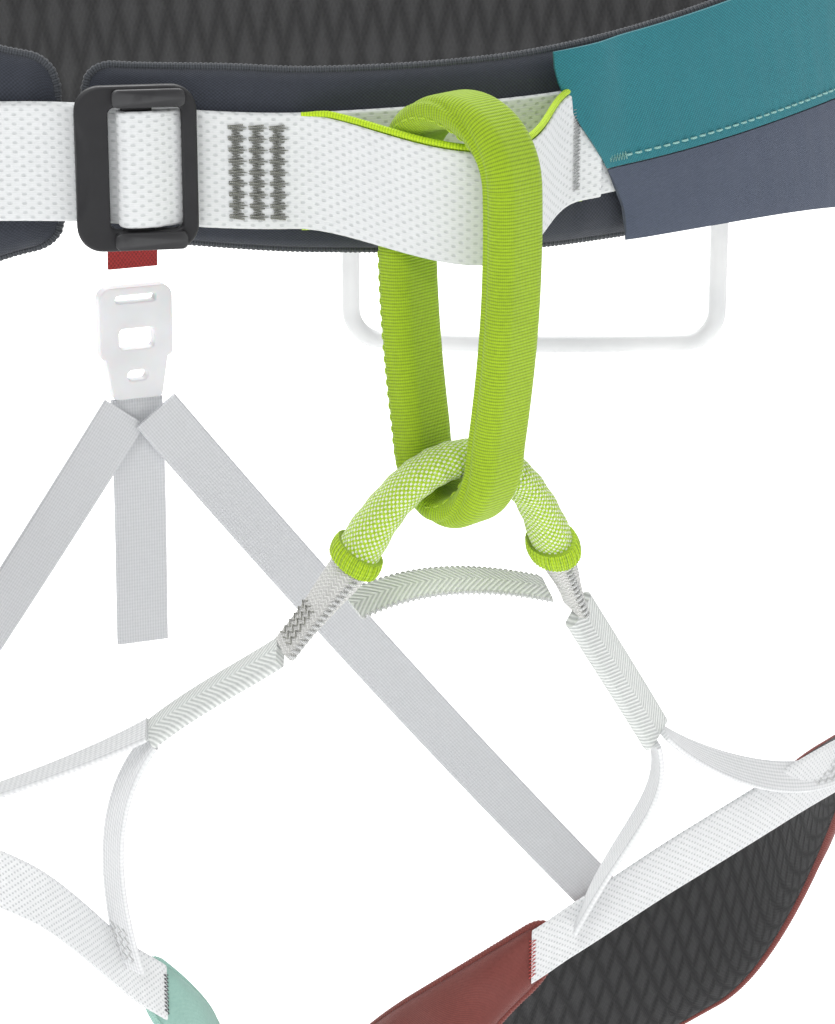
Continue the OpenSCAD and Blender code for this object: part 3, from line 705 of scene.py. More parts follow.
def scalloped_edge(corners, radius, pitch):
    """Overlocked edge: a closed tube that swells at each loop of thread."""
    corners = np.array(corners)
    loop = np.vstack([corners, corners[:1]])
    length = distances(loop)
    count = int(length[-1] / (pitch / 4))
    at = np.linspace(0, length[-1], count, endpoint=False)
    path = at_distances(at, length, loop)
    swell = radius * (0.82 + 0.18 * np.abs(np.sin(math.pi * at / pitch)))
    middle = corners.mean(0)
    across = unit(path * [1, 1, 0] - middle * [1, 1, 0])
    return Shape().tube(path, swell, normal=across * 0.999 + UP * 0.001, sides=7, looped=True)


# ---------------------------------------------------------------- panels over the webbing
def panel_split(t):
    """Height of the seam between the upper and lower panel."""
    return -7.5 + 13.5 * ramp(-76, 20, t if t < 90 else 180 - t)


def panel_start(z):
    """Direction at which the right panels' slanting front edge lies at height z."""
    return -72.0 - 7.8 * ramp(-26, 26, z)


def panel_rows(ends, low, high, slant):
    rows = []
    count = 130
    for k in range(count + 1):
        f = k / count
        t_mid = ends[0] + (ends[1] - ends[0]) * f
        faces = np.linspace(0, 1, 9)
        outer, inner = [], []
        for s in faces:
            z = low(t_mid) * (1 - s) + high(t_mid) * s
            t = (panel_start(z) * (1 - f) + ends[1] * f) if slant else t_mid
            fade = 1 - abs(2 * s - 1) ** 8
            bulge = 0.5 * fade + 0.25 * math.sin(t * 2.3 + z * 0.2) * fade
            lip = 0.55 + 0.45 * ramp(0, 0.012, min(f, 1 - f))
            over = 2.2 * ramp(-72.5, -76.0, t) if slant else 0.0
            outer.append(ring_at(t, fold_in + over + (1.0 + bulge) * lip, z))
            inner.append(ring_at(t, fold_in + over + 0.1, z))
        rows.append(outer + inner[::-1])
    return rows


def build_panels():
    seam = Shape()
    for side, ends in (("right", right_panel), ("left", left_panel)):
        slant = side == "right"
        upper = panel_rows(ends, panel_split, lambda t: pad_top(t) + 1.3, slant)
        lower = panel_rows(ends, lambda t: pad_bot(t) - 1.5, lambda t: panel_split(t) - 0.4, slant)
        Shape().loft(upper).make("upper_panel_skin_" + side, teal, "waist_belt", "teal_fabric",
                                 ("upper_panel_" + side,))
        Shape().loft(lower).make("lower_panel_skin_" + side, slate, "waist_belt", "slate_fabric",
                                 ("lower_panel_" + side,))
        start = panel_start(-4) if slant else ends[0]
        length = (ends[1] - start) * panel_mm_per_degree

        def on_seam(s, rise=2.6):
            t = start + 0.9 + s / panel_mm_per_degree
            return ring_at(t, fold_in + 1.55, panel_split(t) + rise), ring_out(t)

        stitch_run(seam, on_seam, 4.5, length - 12, 2.6, 1.7, 0.32, 0.25)

        def on_start(x, y):
            return on_seam(y, 2.6 + x)

        zigzag(seam, on_start, -1.0, 1.0, 0.0, 4.6, 0.35, 0.2)
    seam.make("panel_stitching", thread_mint, "waist_belt", "thread")


# ---------------------------------------------------------------- waist webbing
buckle_mid = fold_out + lay + 1.5 + 0.4


def at_buckle(x, off, z=0.0):
    """A point in the buckle's own frame: x along the belt, off outward, z up."""
    out = ring_out(buckle_turn)
    along = np.array([-out[1], out[0], 0.0])
    return ring_mid(buckle_turn) + along * x + out * off + UP * z


def build_waist_webbing():
    section, across = webbing_profile(web_w, web_t, 16)
    # The right webbing runs up to the slider, round it and back on itself
    plan = [ring_at(t, web_mid) for t in np.linspace(88, buckle_turn + 4.2, 300)]
    loop = [(12, 5.4), (9.5, 6.1), (6.5, 7.2), (3, 7.5), (-1.3, 7.5)]
    loop += [(-1.3 - 2.8 * math.sin(a), 10.3 - 2.8 * math.cos(a)) for a in np.linspace(0.25, 2.9, 12)]
    loop += [(-1.3, 13.1), (2, 13.15), (5, 12.9), (8, 11.6), (10.5, 8.8), (12.6, 7.5)]
    plan += [at_buckle(x, off) for x, off in loop]
    plan += [ring_at(t, fold_mid) for t in np.linspace(buckle_turn + 4.7, tie_from - 0.4, 30)]
    inner_count = len(plan)
    loop_ts = np.linspace(tie_from, tie_to + 1.6, 110)
    plan += [ring_at(t, fold_mid + 0.4 * ramp(0, 3, t - tie_from) + tie_bulge * tie_lift(t),
                     -tie_droop * tie_lift(t)) for t in loop_ts]
    plan = smooth(np.array(plan), 2)
    run = unit(np.gradient(plan, axis=0) * [1, 1, 0])
    face = unit(np.cross(run, UP))
    thin = np.ones(len(plan))
    thin[inner_count:] = 1 - 0.42 * ramp(0, 3, loop_ts - tie_from)
    lean = np.zeros(len(plan))
    lean[inner_count:] = [0.10 * tie_lift(t) for t in loop_ts]
    rows = [c + UP * section[:, :1] + f * (section[:, 1:] * k + section[:, :1] * tilt)
            for c, f, k, tilt in zip(plan, face, thin, lean)]
    Shape().loft(rows, across=across).make(
        "waist_strap_right", white_web, "waist_belt", "white_webbing",
        ("waist_webbing_right", "tie_in_webbing"))
    left = ring_strap(np.linspace(92, 360 + buckle_turn + 1.5, 240), lambda t: web_mid,
                      lambda t: -web_w / 2, lambda t: web_w / 2, web_t)
    Shape().loft(left[0], across=left[1]).make("waist_strap_left", white_web, "waist_belt",
                                               "white_webbing", ("waist_webbing_left",))
    tail = ring_strap(np.linspace(217, 360 + buckle_turn - 0.3, 60),
                      lambda t: fold_mid + 0.5 * math.sin((t - 217) * 0.35) ** 2,
                      lambda t: -web_w / 2 - 0.3, lambda t: web_w / 2 - 0.3, web_t)
    Shape().loft(tail[0], across=tail[1]).make("waist_strap_tail", white_web, "waist_belt",
                                               "white_webbing", ("waist_webbing_tail",))
    keeper = Shape()
    band, across = webbing_profile(10, 1.2, 8)
    centre, side, face = [], [], []
    out, mid = ring_out(222), ring_mid(222)
    along = np.array([-out[1], out[0], 0.0])
    half_h, deep = web_w / 2 + 1.1, 2.3
    mid_off = (fabric_out + fold_out) / 2 + 0.5
    for a in np.linspace(0, 2 * math.pi, 72, endpoint=False):
        c, s = math.cos(a), math.sin(a)
        z = math.copysign(min(half_h, half_h * abs(c) * 1.4), c)
        o = math.copysign(min(deep, deep * abs(s) * 2.4), s)
        centre.append(mid + out * (mid_off + o) + UP * z)
        face.append(unit(out * (o / deep) + UP * (z / half_h) ** 5))
        side.append(along)
    keeper.loft(strap_rows(centre, side, face, band), across=across, looped=True)
    keeper.make("tail_keeper", black_web, "waist_belt", "binding", ("webbing_keeper",))


def smooth(path, passes):
    for _ in range(passes):
        path = np.vstack([path[:1], (path[:-2] + 2 * path[1:-1] + path[2:]) / 4, path[-1:]])
    return path


# ---------------------------------------------------------------- upper tie-in loop
tie_from, tie_to = fold_end_t + 0.3, right_panel[0] - 0.4
tie_bulge, tie_droop = 27.0, 7.0


def tie_lift(t):
    middle, half = (tie_from + tie_to) / 2, (tie_to - tie_from) / 2
    return math.cos(math.radians(90 * min(1, max(-1, (t - middle) / half)))) ** 2


def build_tie_in():
    ts = np.linspace(tie_from + 0.6, tie_to, 110)
    section, across = webbing_profile(web_w, 0.55, 16)
    rows, roll = [], []
    for a in ts:
        lift = tie_lift(a)
        rise = -tie_droop * lift + 1.3 * ramp(0, 2.2, min(a - ts[0], ts[-1] - a)) - 0.4
        base = ring_at(a, fold_in + 0.42 + tie_bulge * lift, rise)
        out = ring_out(a)
        rows.append([base + UP * s[0] + out * (s[1] + 0.10 * lift * s[0]) for s in section])
        roll.append(base + UP * (web_w / 2 + 0.1) + out * (0.35 + 0.05 * lift * web_w))
    lining = Shape().loft(rows, across=across)
    lining.tube(roll, 0.85, normal=UP, sides=12)
    lining.make("tie_in_loop_lining", lime_lining, "waist_belt", "lime_lining", ("tie_in_lining",))
    tacks = Shape()

    def patch(x, y):
        """x is millimetres along the belt from the fold's end, y is the height."""
        t = fold_end_t + x / ring_speed(fold_end_t)
        return ring_at(t, fold_out + 0.1, y), ring_out(t)

    for x in (-13.8, -8.5, -3.2):
        zigzag(tacks, patch, x - 1.7, x + 1.7, -12.3, 12.3, 0.36, 0.24, teeth=(2.9, 0.9))
    tacks.make("waist_bartack_threads", thread_grey, "waist_belt", "thread", ("waist_bartacks",))
    pale = Shape()

    def right_patch(x, y):
        t = tie_to - 1.0 + x / ring_speed(tie_to)
        lift = tie_lift(min(t, tie_to))
        return ring_at(t, fold_in + 2.0 + tie_bulge * lift, y - tie_droop * lift), ring_out(t)

    zigzag(pale, right_patch, -1.2, 1.2, -11.5, 11.0, 0.45, 0.25)
    pale.make("tie_in_end_stitching", thread_pale, "waist_belt", "thread")


# ---------------------------------------------------------------- buckle
def rounded_outline(w, h, r, n=96):
    """Points round a rounded rectangle, evenly spread by length from its right middle."""
    corners = []
    for cx, cy, start in ((w / 2 - r, h / 2 - r, 0), (-w / 2 + r, h / 2 - r, 90),
                          (-w / 2 + r, -h / 2 + r, 180), (w / 2 - r, -h / 2 + r, 270)):
        corners += [(cx + r * math.cos(math.radians(start + a)),
                     cy + r * math.sin(math.radians(start + a))) for a in np.linspace(0, 90, 13)]
    corners = np.array(corners)
    loop = np.vstack([[w / 2, 0], corners, [w / 2, 0]])
    length = distances(loop)
    return at_distances(np.linspace(0, length[-1], n, endpoint=False), length, loop)


def angle_matched(outline, centre, n=144):
    """The same outline, with its points at even angles round a centre."""
    rel = outline - centre
    angle = np.unwrap(np.arctan2(rel[:, 1], rel[:, 0]))
    order = np.argsort(angle % (2 * math.pi))
    ang, pts = (angle % (2 * math.pi))[order], outline[order]
    want = np.arange(n) * 2 * math.pi / n
    return np.stack([np.interp(want, ang, pts[:, k], period=2 * math.pi) for k in (0, 1)], 1)


def build_buckle():
    frame_w, frame_h, half = 31.0, 42.5, 1.5
    window_w, window_x = frame_w - 12.5, 2.25
    centre = np.array([window_x, 0.0])
    outer = angle_matched(rounded_outline(frame_w, frame_h, 6.5, 400), centre)
    inner = angle_matched(rounded_outline(window_w, web_w + 1.4, 1.6, 400) + centre, centre)
    # Section from the outer rim over the front face to the window: distance inward, height
    bevel = 0.75
    profile = [(0.0, -half + bevel), (0.0, half - bevel), (bevel * 0.3, half - bevel * 0.3),
               (bevel, half)]
    rows = []
    for o, i in zip(outer, inner):
        span = np.linalg.norm(i - o)
        run = (i - o) / span
        ring = profile + [(bevel + (span - 2 * bevel) * f, half) for f in np.linspace(0.04, 0.96, 14)]
        ring += [(span - d, z) for d, z in profile[::-1]]
        ring += [(span - bevel, -half), (bevel, -half)]
        points = []
        for d, z in ring:
            x, y = o + run * d
            dent = 0.0
            if z == half and x < window_x - window_w / 2:
                crescent = math.hypot((x + 17.8) / 6.6, y / 14.5)
                dent = 0.55 * ramp(1.0, 0.72, crescent)
            points.append(at_buckle(x, buckle_mid + z - dent, y))
        rows.append(points)
    Shape().loft(rows, looped=True).make("buckle_rim", anodised, "waist_belt", "anodised",
                                         ("buckle_frame",))
    slider = Shape()
    bar_x = 0.2
    section = rounded_outline(8, 3, 1.2, 40)
    zs = np.concatenate([[-20.4, -20.2], np.linspace(-19.9, 19.9, 30), [20.2, 20.4]])
    scale = np.concatenate([[0.6, 0.9], np.ones(30), [0.9, 0.6]])
    slider.loft([[at_buckle(bar_x + x * k, buckle_mid + y * k, z) for x, y in section]
                 for z, k in zip(zs, scale)])
    for s in (-1, 1):
        ear = rounded_outline(18.4, 4.6, 1.5, 60)
        depth = [(-1.1, 0.78), (-0.85, 0.95), (-0.5, 1.0), (0.5, 1.0), (0.85, 0.95), (1.1, 0.78)]
        slider.loft([[at_buckle(bar_x + 3 + x * (0.97 + 0.03 * k), buckle_mid + 2.9 + d,
                                s * 18.3 + y * k) for x, y in ear] for d, k in depth])
        link = rounded_outline(5, 3, 0.8, 24)
        slider.loft([[at_buckle(bar_x + x, buckle_mid + d, s * 18.75 + y * 0.9) for x, y in link]
                     for d in (1.0, 1.4, 1.8, 2.2)])
    slider.make("slider_bar", anodised_grey, "buckle_slider", "anodised", ("buckle_slider",))


# ---------------------------------------------------------------- gear loops and haul loop
gear = {"front_right": (-35, -3), "rear_right": (28, 73), "rear_left": (113, 157),
        "front_left": (186, 216)}
gear_d, gear_drop, gear_bend, haul_d = 6.0, 50.0, 11.0, 5.0


def hanging_path(span, drop, bend, top):
    """Plan of a bent tube: across and up."""
    path = [(0, top), (0, top - 4)]
    path += [(0, z) for z in np.linspace(top - 8, bend - drop + 1, 8)]
    path += [(bend - bend * math.cos(a), bend - drop - bend * math.sin(a))
             for a in np.linspace(0, math.pi / 2, 12)]
    path += [(x, -drop - 0.9 * math.sin(math.pi * (x - bend) / (span - 2 * bend)))
             for x in np.linspace(bend + 2, span - bend - 2, 20)]
    path += [(span - bend + bend * math.sin(a), bend - drop - bend * math.cos(a))
             for a in np.linspace(0, math.pi / 2, 12)]
    path += [(span, z) for z in np.linspace(bend - drop + 1, top - 8, 8)]
    return path + [(span, top - 4), (span, top)]


def fabric_tab(shape, start, along, out, length, top, grip):
    """Folded fabric loop that holds a pin on the line start + along, reaching up to top."""
    section, across = webbing_profile(length, 0.9, 8)
    centre, face = [], []
    legs = [(-0.9, top), (-1.2, top * 0.6), (-1.9, top * 0.25)]
    turn = [(-grip * math.cos(a), -grip * math.sin(a)) for a in np.linspace(0, math.pi, 15)]
    plan = np.array(legs + turn + [(-x, z) for x, z in legs[::-1]])
    for o, z in smooth(np.column_stack([plan, plan[:, 0] * 0]), 1)[:, :2]:
        centre.append(start + along * length / 2 + out * o + UP * z)
    centre = np.array(centre)
    run = unit(np.gradient(centre, axis=0))
    face = unit(np.cross(run, along))
    shape.loft(strap_rows(centre, np.broadcast_to(along, centre.shape), face, section), across=across)


def build_gear():
    tabs = Shape()
    for name, (t0, t1) in gear.items():
        a, b = ring_at(t0, 2), ring_at(t1, 2)
        edge = min(pad_bot(t0), pad_bot(t1)) - lay - 1.5
        a[2] = b[2] = edge - free - 3.5
        along, span = unit(b - a), float(np.linalg.norm(b - a))
        out = unit(np.cross(along, UP))
        path = [a + along * x + UP * z for x, z in hanging_path(span, gear_drop, gear_bend, gear_d / 2)]
        body = "gear_loop_" + name
        Shape().tube(path, gear_d / 2, normal=out, sides=20).make(
            "gear_tube_" + name, tube_white, body, "white_tube", (body,))
        pins = Shape()
        for end, way in ((a, -along), (b, along)):
            pins.tube([end + way * d for d in (-1.5, 0, 4, 8, 12.4)], [2.2, 1.9, 1.9, 1.9, 1.7],
                      normal=UP, sides=14)
            fabric_tab(tabs, end + way * (gear_d / 2 + free), way, out, 8.0, 13.0, 2.75)
        pins.make("gear_cord_" + name, grey_cord, body, "grey_cord")
    tabs.make("gear_tabs", navy, "waist_belt", "navy_fabric", ("gear_loop_tabs",))
    haul_y = back_y + web_out + 5.7
    a = np.array([-17.0, haul_y, -2.0])
    path = [a + [x, 0, z] for x, z in hanging_path(34.0, 44.0, 9.0, haul_d / 2)]
    Shape().tube(path, haul_d / 2, normal=[0, 1, 0], sides=18).make(
        "haul_cord", grey_cord, "haul_loop", "grey_cord", ("haul_loop",))
    haul_tabs, pins = Shape(), Shape()
    for x, way in ((-17.0, -1.0), (17.0, 1.0)):
        end = np.array([x, haul_y, -2.0])
        step = np.array([way, 0, 0])
        pins.tube([end + step * d for d in (-1.2, 0, 4, 8, 11.9)], [2.2, 1.9, 1.9, 1.9, 1.7], sides=14)
        fabric_tab(haul_tabs, end + step * (haul_d / 2 + free), step, np.array([0, -way, 0.0]) * -way,
                   8.0, 17.0, 2.75)
    pins.make("haul_cord_ends", grey_cord, "haul_loop", "grey_cord")
    haul_tabs.make("haul_tabs", navy, "waist_belt", "navy_fabric", ("haul_loop_tabs",))


# ---------------------------------------------------------------- belay loop
def belay_frame():
    turn = math.radians(-90 + belay_turn)
    x = np.array([math.cos(turn), math.sin(turn), 0.0])
    return x, np.array([-x[1], x[0], 0.0])


def half_gap(z):
    """Half the distance between the strands, which draw together towards the foot."""
    f = min(1, max(0, (arc_top - z) / (arc_top - arc_low)))
    return belay_r + 0.9 * math.sin(math.pi * f) - 5.0 * f ** 1.7


def racetrack(n_straight=110, n_arc=60):
    """Centres and outward directions round the loop, from the top of its front strand, and
    how far each lies from the front strand (0) towards the back one (1)."""
    x, side = belay_frame()
    axis = np.array([0.0, belay_y, 0.0])
    centre, where = [], []
    foot_r = half_gap(arc_low)
    for z in np.linspace(arc_top, arc_low, n_straight, endpoint=False):
        centre.append(axis + x * half_gap(z) + UP * z)
        where.append(0.0)
    for a in np.linspace(0, math.pi, n_arc, endpoint=False):
        d = x * math.cos(a) * foot_r - UP * math.sin(a) * belay_r
        centre.append(axis + UP * arc_low + d)
        where.append(a / math.pi)
    for z in np.linspace(arc_low, arc_top, n_straight, endpoint=False):
        centre.append(axis - x * half_gap(z) + UP * z)
        where.append(1.0)
    for a in np.linspace(0, math.pi, n_arc, endpoint=False):
        d = -x * math.cos(a) + UP * math.sin(a)
        centre.append(axis + UP * arc_top + d * belay_r)
        where.append(1 - a / math.pi)
    centre = np.array(centre)
    centre = wrapped_mean(centre, 3)
    run = unit(np.roll(centre, -1, 0) - np.roll(centre, 1, 0))
    return centre, unit(np.cross(side, run)), np.array(where)


def stadium_points(w, t, n):
    return rounded_outline(w, t, t / 2 - 0.01, n)


def build_belay():
    centre, out, where = racetrack()
    _, side = belay_frame()
    n = 96
    base = stadium_points(belay_w, belay_t, n)
    normal = unit(np.roll(base, -1, 0) - np.roll(base, 1, 0))[:, ::-1] * [1, -1]
    angle = np.degrees(np.arctan2(base[:, 1], -base[:, 0]))
    rows, seam_line = [], []
    for c, o, w in zip(centre, out, where):
        ridge = 21.6 - 66 * ramp(0, 1, w)
        ahead = (angle - ridge + 180) % 360 - 180
        strip = 0.75 * ramp(-4, 2, ahead) * ramp(44, 25, ahead)
        groove = -0.3 * np.exp(-((ahead + 7) / 4) ** 2) - 0.22 * np.exp(-((ahead - 24) / 4) ** 2)
        ring = base + normal * (strip + groove)[:, None]
        rows.append(c + side * ring[:, :1] + o * ring[:, 1:])
        line = ridge + 24
        near = int(np.argmin(np.abs((angle - line + 180) % 360 - 180)))
        p = ring[near]
        facing = unit(side * normal[near, 0] + o * normal[near, 1])
        seam_line.append((c + side * p[0] + o * p[1], facing))
    Shape().loft(rows, looped=True).make("belay_sheath", lime_sheath, "belay_loop", "lime_fabric",
                                         ("belay_loop_sheath",))
    points = np.array([p for p, _ in seam_line])
    faces = np.array([f for _, f in seam_line])
    points = wrapped_mean(points, 4)
    length = distances(points)

    def on_seam(s):
        return at_distances(s, length, points), at_distances(s, length, faces)

    seam = Shape()
    stitch_run(seam, on_seam, 1, length[-1] - 1, 3.1, 2.2, 0.3, 0.22)
    seam.make("belay_seam_stitches", thread_lime, "belay_loop", "lime_fabric", ("belay_loop_seam",))
    core = stadium_points(belay_w - 3.2, belay_t - 3.2, 24)
    Shape().loft([c + side * core[:, :1] + o * core[:, 1:] for c, o in zip(centre, out)],
                 looped=True).make("belay_core", core_web, "belay_loop", "core_webbing",
                                   ("belay_loop_core",))


# ---------------------------------------------------------------- lower tie-in point
def arch_frame(u):
    c, d = bezier(arch, u), bezier_dir(arch, u)
    up = -unit(np.cross(d, [0, 1, 0]))
    return c, np.cross(d, up), up, 1 + 0.16 * ramp(0.3, 0.5, abs(u - 0.5))


def arch_ring(u, half_w, half_t, n=56, ribs=0, depth=0.0):
    c, side, up, s = arch_frame(u)
    a = np.arange(n) * 2 * math.pi / n
    swell = depth * np.cos(a * ribs) if ribs else 0 * a
    return (c + side * ((half_w + swell) * s * np.cos(a))[:, None]
            + up * ((half_t + swell) * s * np.sin(a))[:, None])


def build_lower_tie_in():
    us = np.linspace(0.04, 0.96, 150)
    rows = [arch_ring(u, 6.6 + 0.12 * math.sin(u * 90), 4.8 + 0.12 * math.sin(u * 90)) for u in us]
    Shape().loft(rows).make("knit_sleeve", lime_knit, "leg_bridge", "knit_sleeve", ("tie_in_sleeve",))
    hems = Shape()
    for a, b in ((0.002, 0.04), (0.96, 0.998)):
        rows = [arch_ring(u, 7.75 + 0.35 * math.sin(math.pi * f), 5.5 + 0.35 * math.sin(math.pi * f),
                          n=192, ribs=44, depth=0.16)
                for f, u in zip(np.linspace(0, 1, 12), np.linspace(a, b, 12))]
        hems.loft(rows)
    hems.make("sleeve_cuffs", lime_cuff, "leg_bridge", "lime_lining", ("sleeve_hems",))
    Shape().loft([arch_ring(u, 6.2, 3.95, n=32) for u in np.linspace(-0.01, 1.01, 60)]).make(
        "lower_tie_in_core", white_web, "leg_bridge", "white_webbing", ("lower_tie_in_webbing",))


def junction_frame(side_name, u):
    if side_name == "left":
        start, way = arch[0], -bezier_dir(arch, 0)
    else:
        start, way = arch[3], bezier_dir(arch, 1)
    end = foot[side_name]
    begin = start + unit(way) * free
    d = unit(mix(way, end - start, u))
    face = unit(np.cross(d, [0, 1, 0]))
    side = np.cross(d, face)
    if side_name == "left":
        face = -face
    return mix(begin, end, u), side, face


def junction_t(u):
    """Thickness of a junction, from 8 mm at the sleeve to 3.4 mm at its foot."""
    return 8 * (1 - ramp(0, 0.85, u)) + 3.4 * ramp(0, 0.85, u)


def build_junctions():
    blue, tack = Shape(), Shape()
    for name in ("left", "right"):
        rows, edges = [], ([], [])
        for u in np.linspace(0, 1, 50):
            c, side, face = junction_frame(name, u)
            w = 14 + (v_strap_w - 14) * u
            t = junction_t(u)
            plump = 1 - 0.08 * math.sin(math.pi * u)
            base = rounded_outline(w * plump, t, t / 2 - 0.05, 44)
            rows.append(c + side * base[:, :1] + face * base[:, 1:])
            for k, s in enumerate((-1, 1)):
                edges[k].append(c + side * s * w * plump / 2)
        shape = Shape().loft(rows)
        shape.make("junction_" + name, braid_web, "leg_bridge", "white_webbing",
                   ("strap_junction_" + name,))
        loops = Shape()
        for k, line in enumerate(edges):
            picot_edge(loops, np.array(line), 1.7, 0.42, 0.75)
        loops.make("junction_edge_loops_" + name, thread_pale, "leg_bridge", "thread")

    def on_left(x, y):
        c, side, face = junction_frame("left", y)
        t = junction_t(y)
        toward = -1 if face[1] > 0 else 1
        return c + side * x + face * toward * (t / 2 + 0.05), face * toward

    for k in range(3):
        zigzag(tack, on_left, -4.5 + 3.2 * k, -2.0 + 3.2 * k, 0.52, 0.92, 0.034, 0.22)
    tack.make("junction_bartack", thread_grey, "leg_bridge", "thread")

    def on_right(s):
        c, side, face = junction_frame("right", 0.5)
        toward = -1 if face[1] > 0 else 1
        t = 5.6
        return c + side * (-3 + s) + face * toward * (t / 2 + 0.1), face * toward

    stitch_run(blue, on_right, 0, 2.5, 2.4, 2.0, 0.22, 0.3)
    blue.make("junction_marker_thread", thread_blue, "leg_bridge", "thread")


def picot_edge(shape, line, pitch, radius, reach):
    """Small loops of yarn along an edge, as a wavy thread wound round it."""
    length = distances(line)
    at = np.linspace(0, length[-1], int(length[-1] / pitch * 8))
    path = at_distances(at, length, line)
    run = unit(np.gradient(path, axis=0))
    one = unit(np.cross(run, [0, 1, 0]))
    two = np.cross(run, one)
    turn = at / pitch * 2 * math.pi
    path = path + one * (np.cos(turn) * reach)[:, None] + two * (np.sin(turn) * reach)[:, None]
    shape.tube(path, radius, normal=[0.1, 1, 0.1], sides=6)


def build_bridge():
    start = arch[0] + [2.5, 6.5, -14.5]
    end = arch[3] + [0.5, 6.5, -12.5]
    curve = [start, start + [18, 0, 7], end + [-18, 0, 6], end]
    rows, across, (centre, side, _) = bezier_strap(curve, [0, 1, 0.35], [0, 1, 0.35], 11, 1.4, 70)
    Shape().loft(rows, across=across).make("bridge_webbing", ribbed_web, "leg_bridge", "pale_webbing",
                                           ("bridge_strap",))
    loops = Shape()
    for s in (-1, 1):
        picot_edge(loops, centre + side * s * 5.4, 1.6, 0.3, 0.5)
    loops.make("bridge_edge_loops", thread_pale, "leg_bridge", "thread")


# ---------------------------------------------------------------- leg loops
def v_strap_curve(name):
    d = unit(split[name] - foot[name])
    start = foot[name] + d * 1.4
    end = split[name]
    return [start, mix(start, end, 0.33), mix(start, end, 0.66) + [0, 1.5, 1], end], d


def strand_curves(name):
    leg = leg_of[name]
    s = leg[0]
    d = unit(split[name] - foot[name])
    inner0 = split[name] + d * free + [-s * 0.9, 0, -1.2]
    inner1 = leg_at(leg, band_first + 4, 2.0, leg_band_w / 2)
    outer0 = split[name] + d * free + [s * 1.2, 0, 1.4]
    outer1 = leg_at(leg, band_last - 16, 2.0, leg_band_w / 2)
    inner = [inner0, inner0 + d * 20 + [0, 0, -8], inner1 + [s * 9, -9, 34], inner1]
    outer = [outer0, outer0 + d * 14 + [s * 3, 0, 0], outer1 + [-s * 34, -20, 1], outer1]
    edge_on = [0.35, 0.9, -0.2] if name == "left" else [0, 0.25, 1]
    return (inner, [s * 0.5, 0.3, 0.8]), (outer, edge_on)


def build_leg_straps(name):
    body = name + "_leg_loop"
    curve, d = v_strap_curve(name)
    aim = [0.1, 1, 0.1] if name == "left" else [0.6, 0.35, 0.4]
    rows, across, _ = bezier_strap(curve, aim, aim, v_strap_w, 3.2, 50)
    Shape().loft(rows, across=across).make(
        "v_webbing_" + name, ribbed_web, "leg_bridge", "white_webbing", ("v_strap_" + name,),
        second=(body, curve[0], curve[0] + d * 16))
    inner, outer = strand_curves(name)
    ends = Shape()
    for label, (curve, end_side) in (("inner", inner), ("outer", outer)):
        rows, across, (centre, side, face) = bezier_strap(curve, [0.1, 1, 0.1], end_side,
                                                          v_strap_w - 2, 1.6, 60)
        Shape().loft(rows, across=across).make(
            f"v_webbing_{label}_{name}", smooth_web, body, "white_webbing",
            (f"v_strand_{label}_{name}",))

        def on_end(x, y, centre=centre, side=side, face=face):
            k = min(60, max(0, int(round(y))))
            toward = 1 if face[k][1] < 0 else -1
            return centre[k] + side[k] * x + face[k] * toward * 0.85, face[k] * toward

        for x in (-3.2, -0.8, 1.6):
            zigzag(ends, on_end, x, x + 1.6, 50, 58, 1.0, 0.2)
    ends.make("strand_bartacks_" + name, thread_pale, body, "thread")


def leg_pad_edges(a):
    """Depths of the pad's upper and lower edge below the loop's top line."""
    d = min(a - pad_first, pad_last - a) * leg_mm_per_degree
    dip = 8.0 * ramp(0, 45, a) * ramp(205, 150, a)
    return dip + end_round(d, 8.0), leg_h(a) - end_round(d, 8.0)


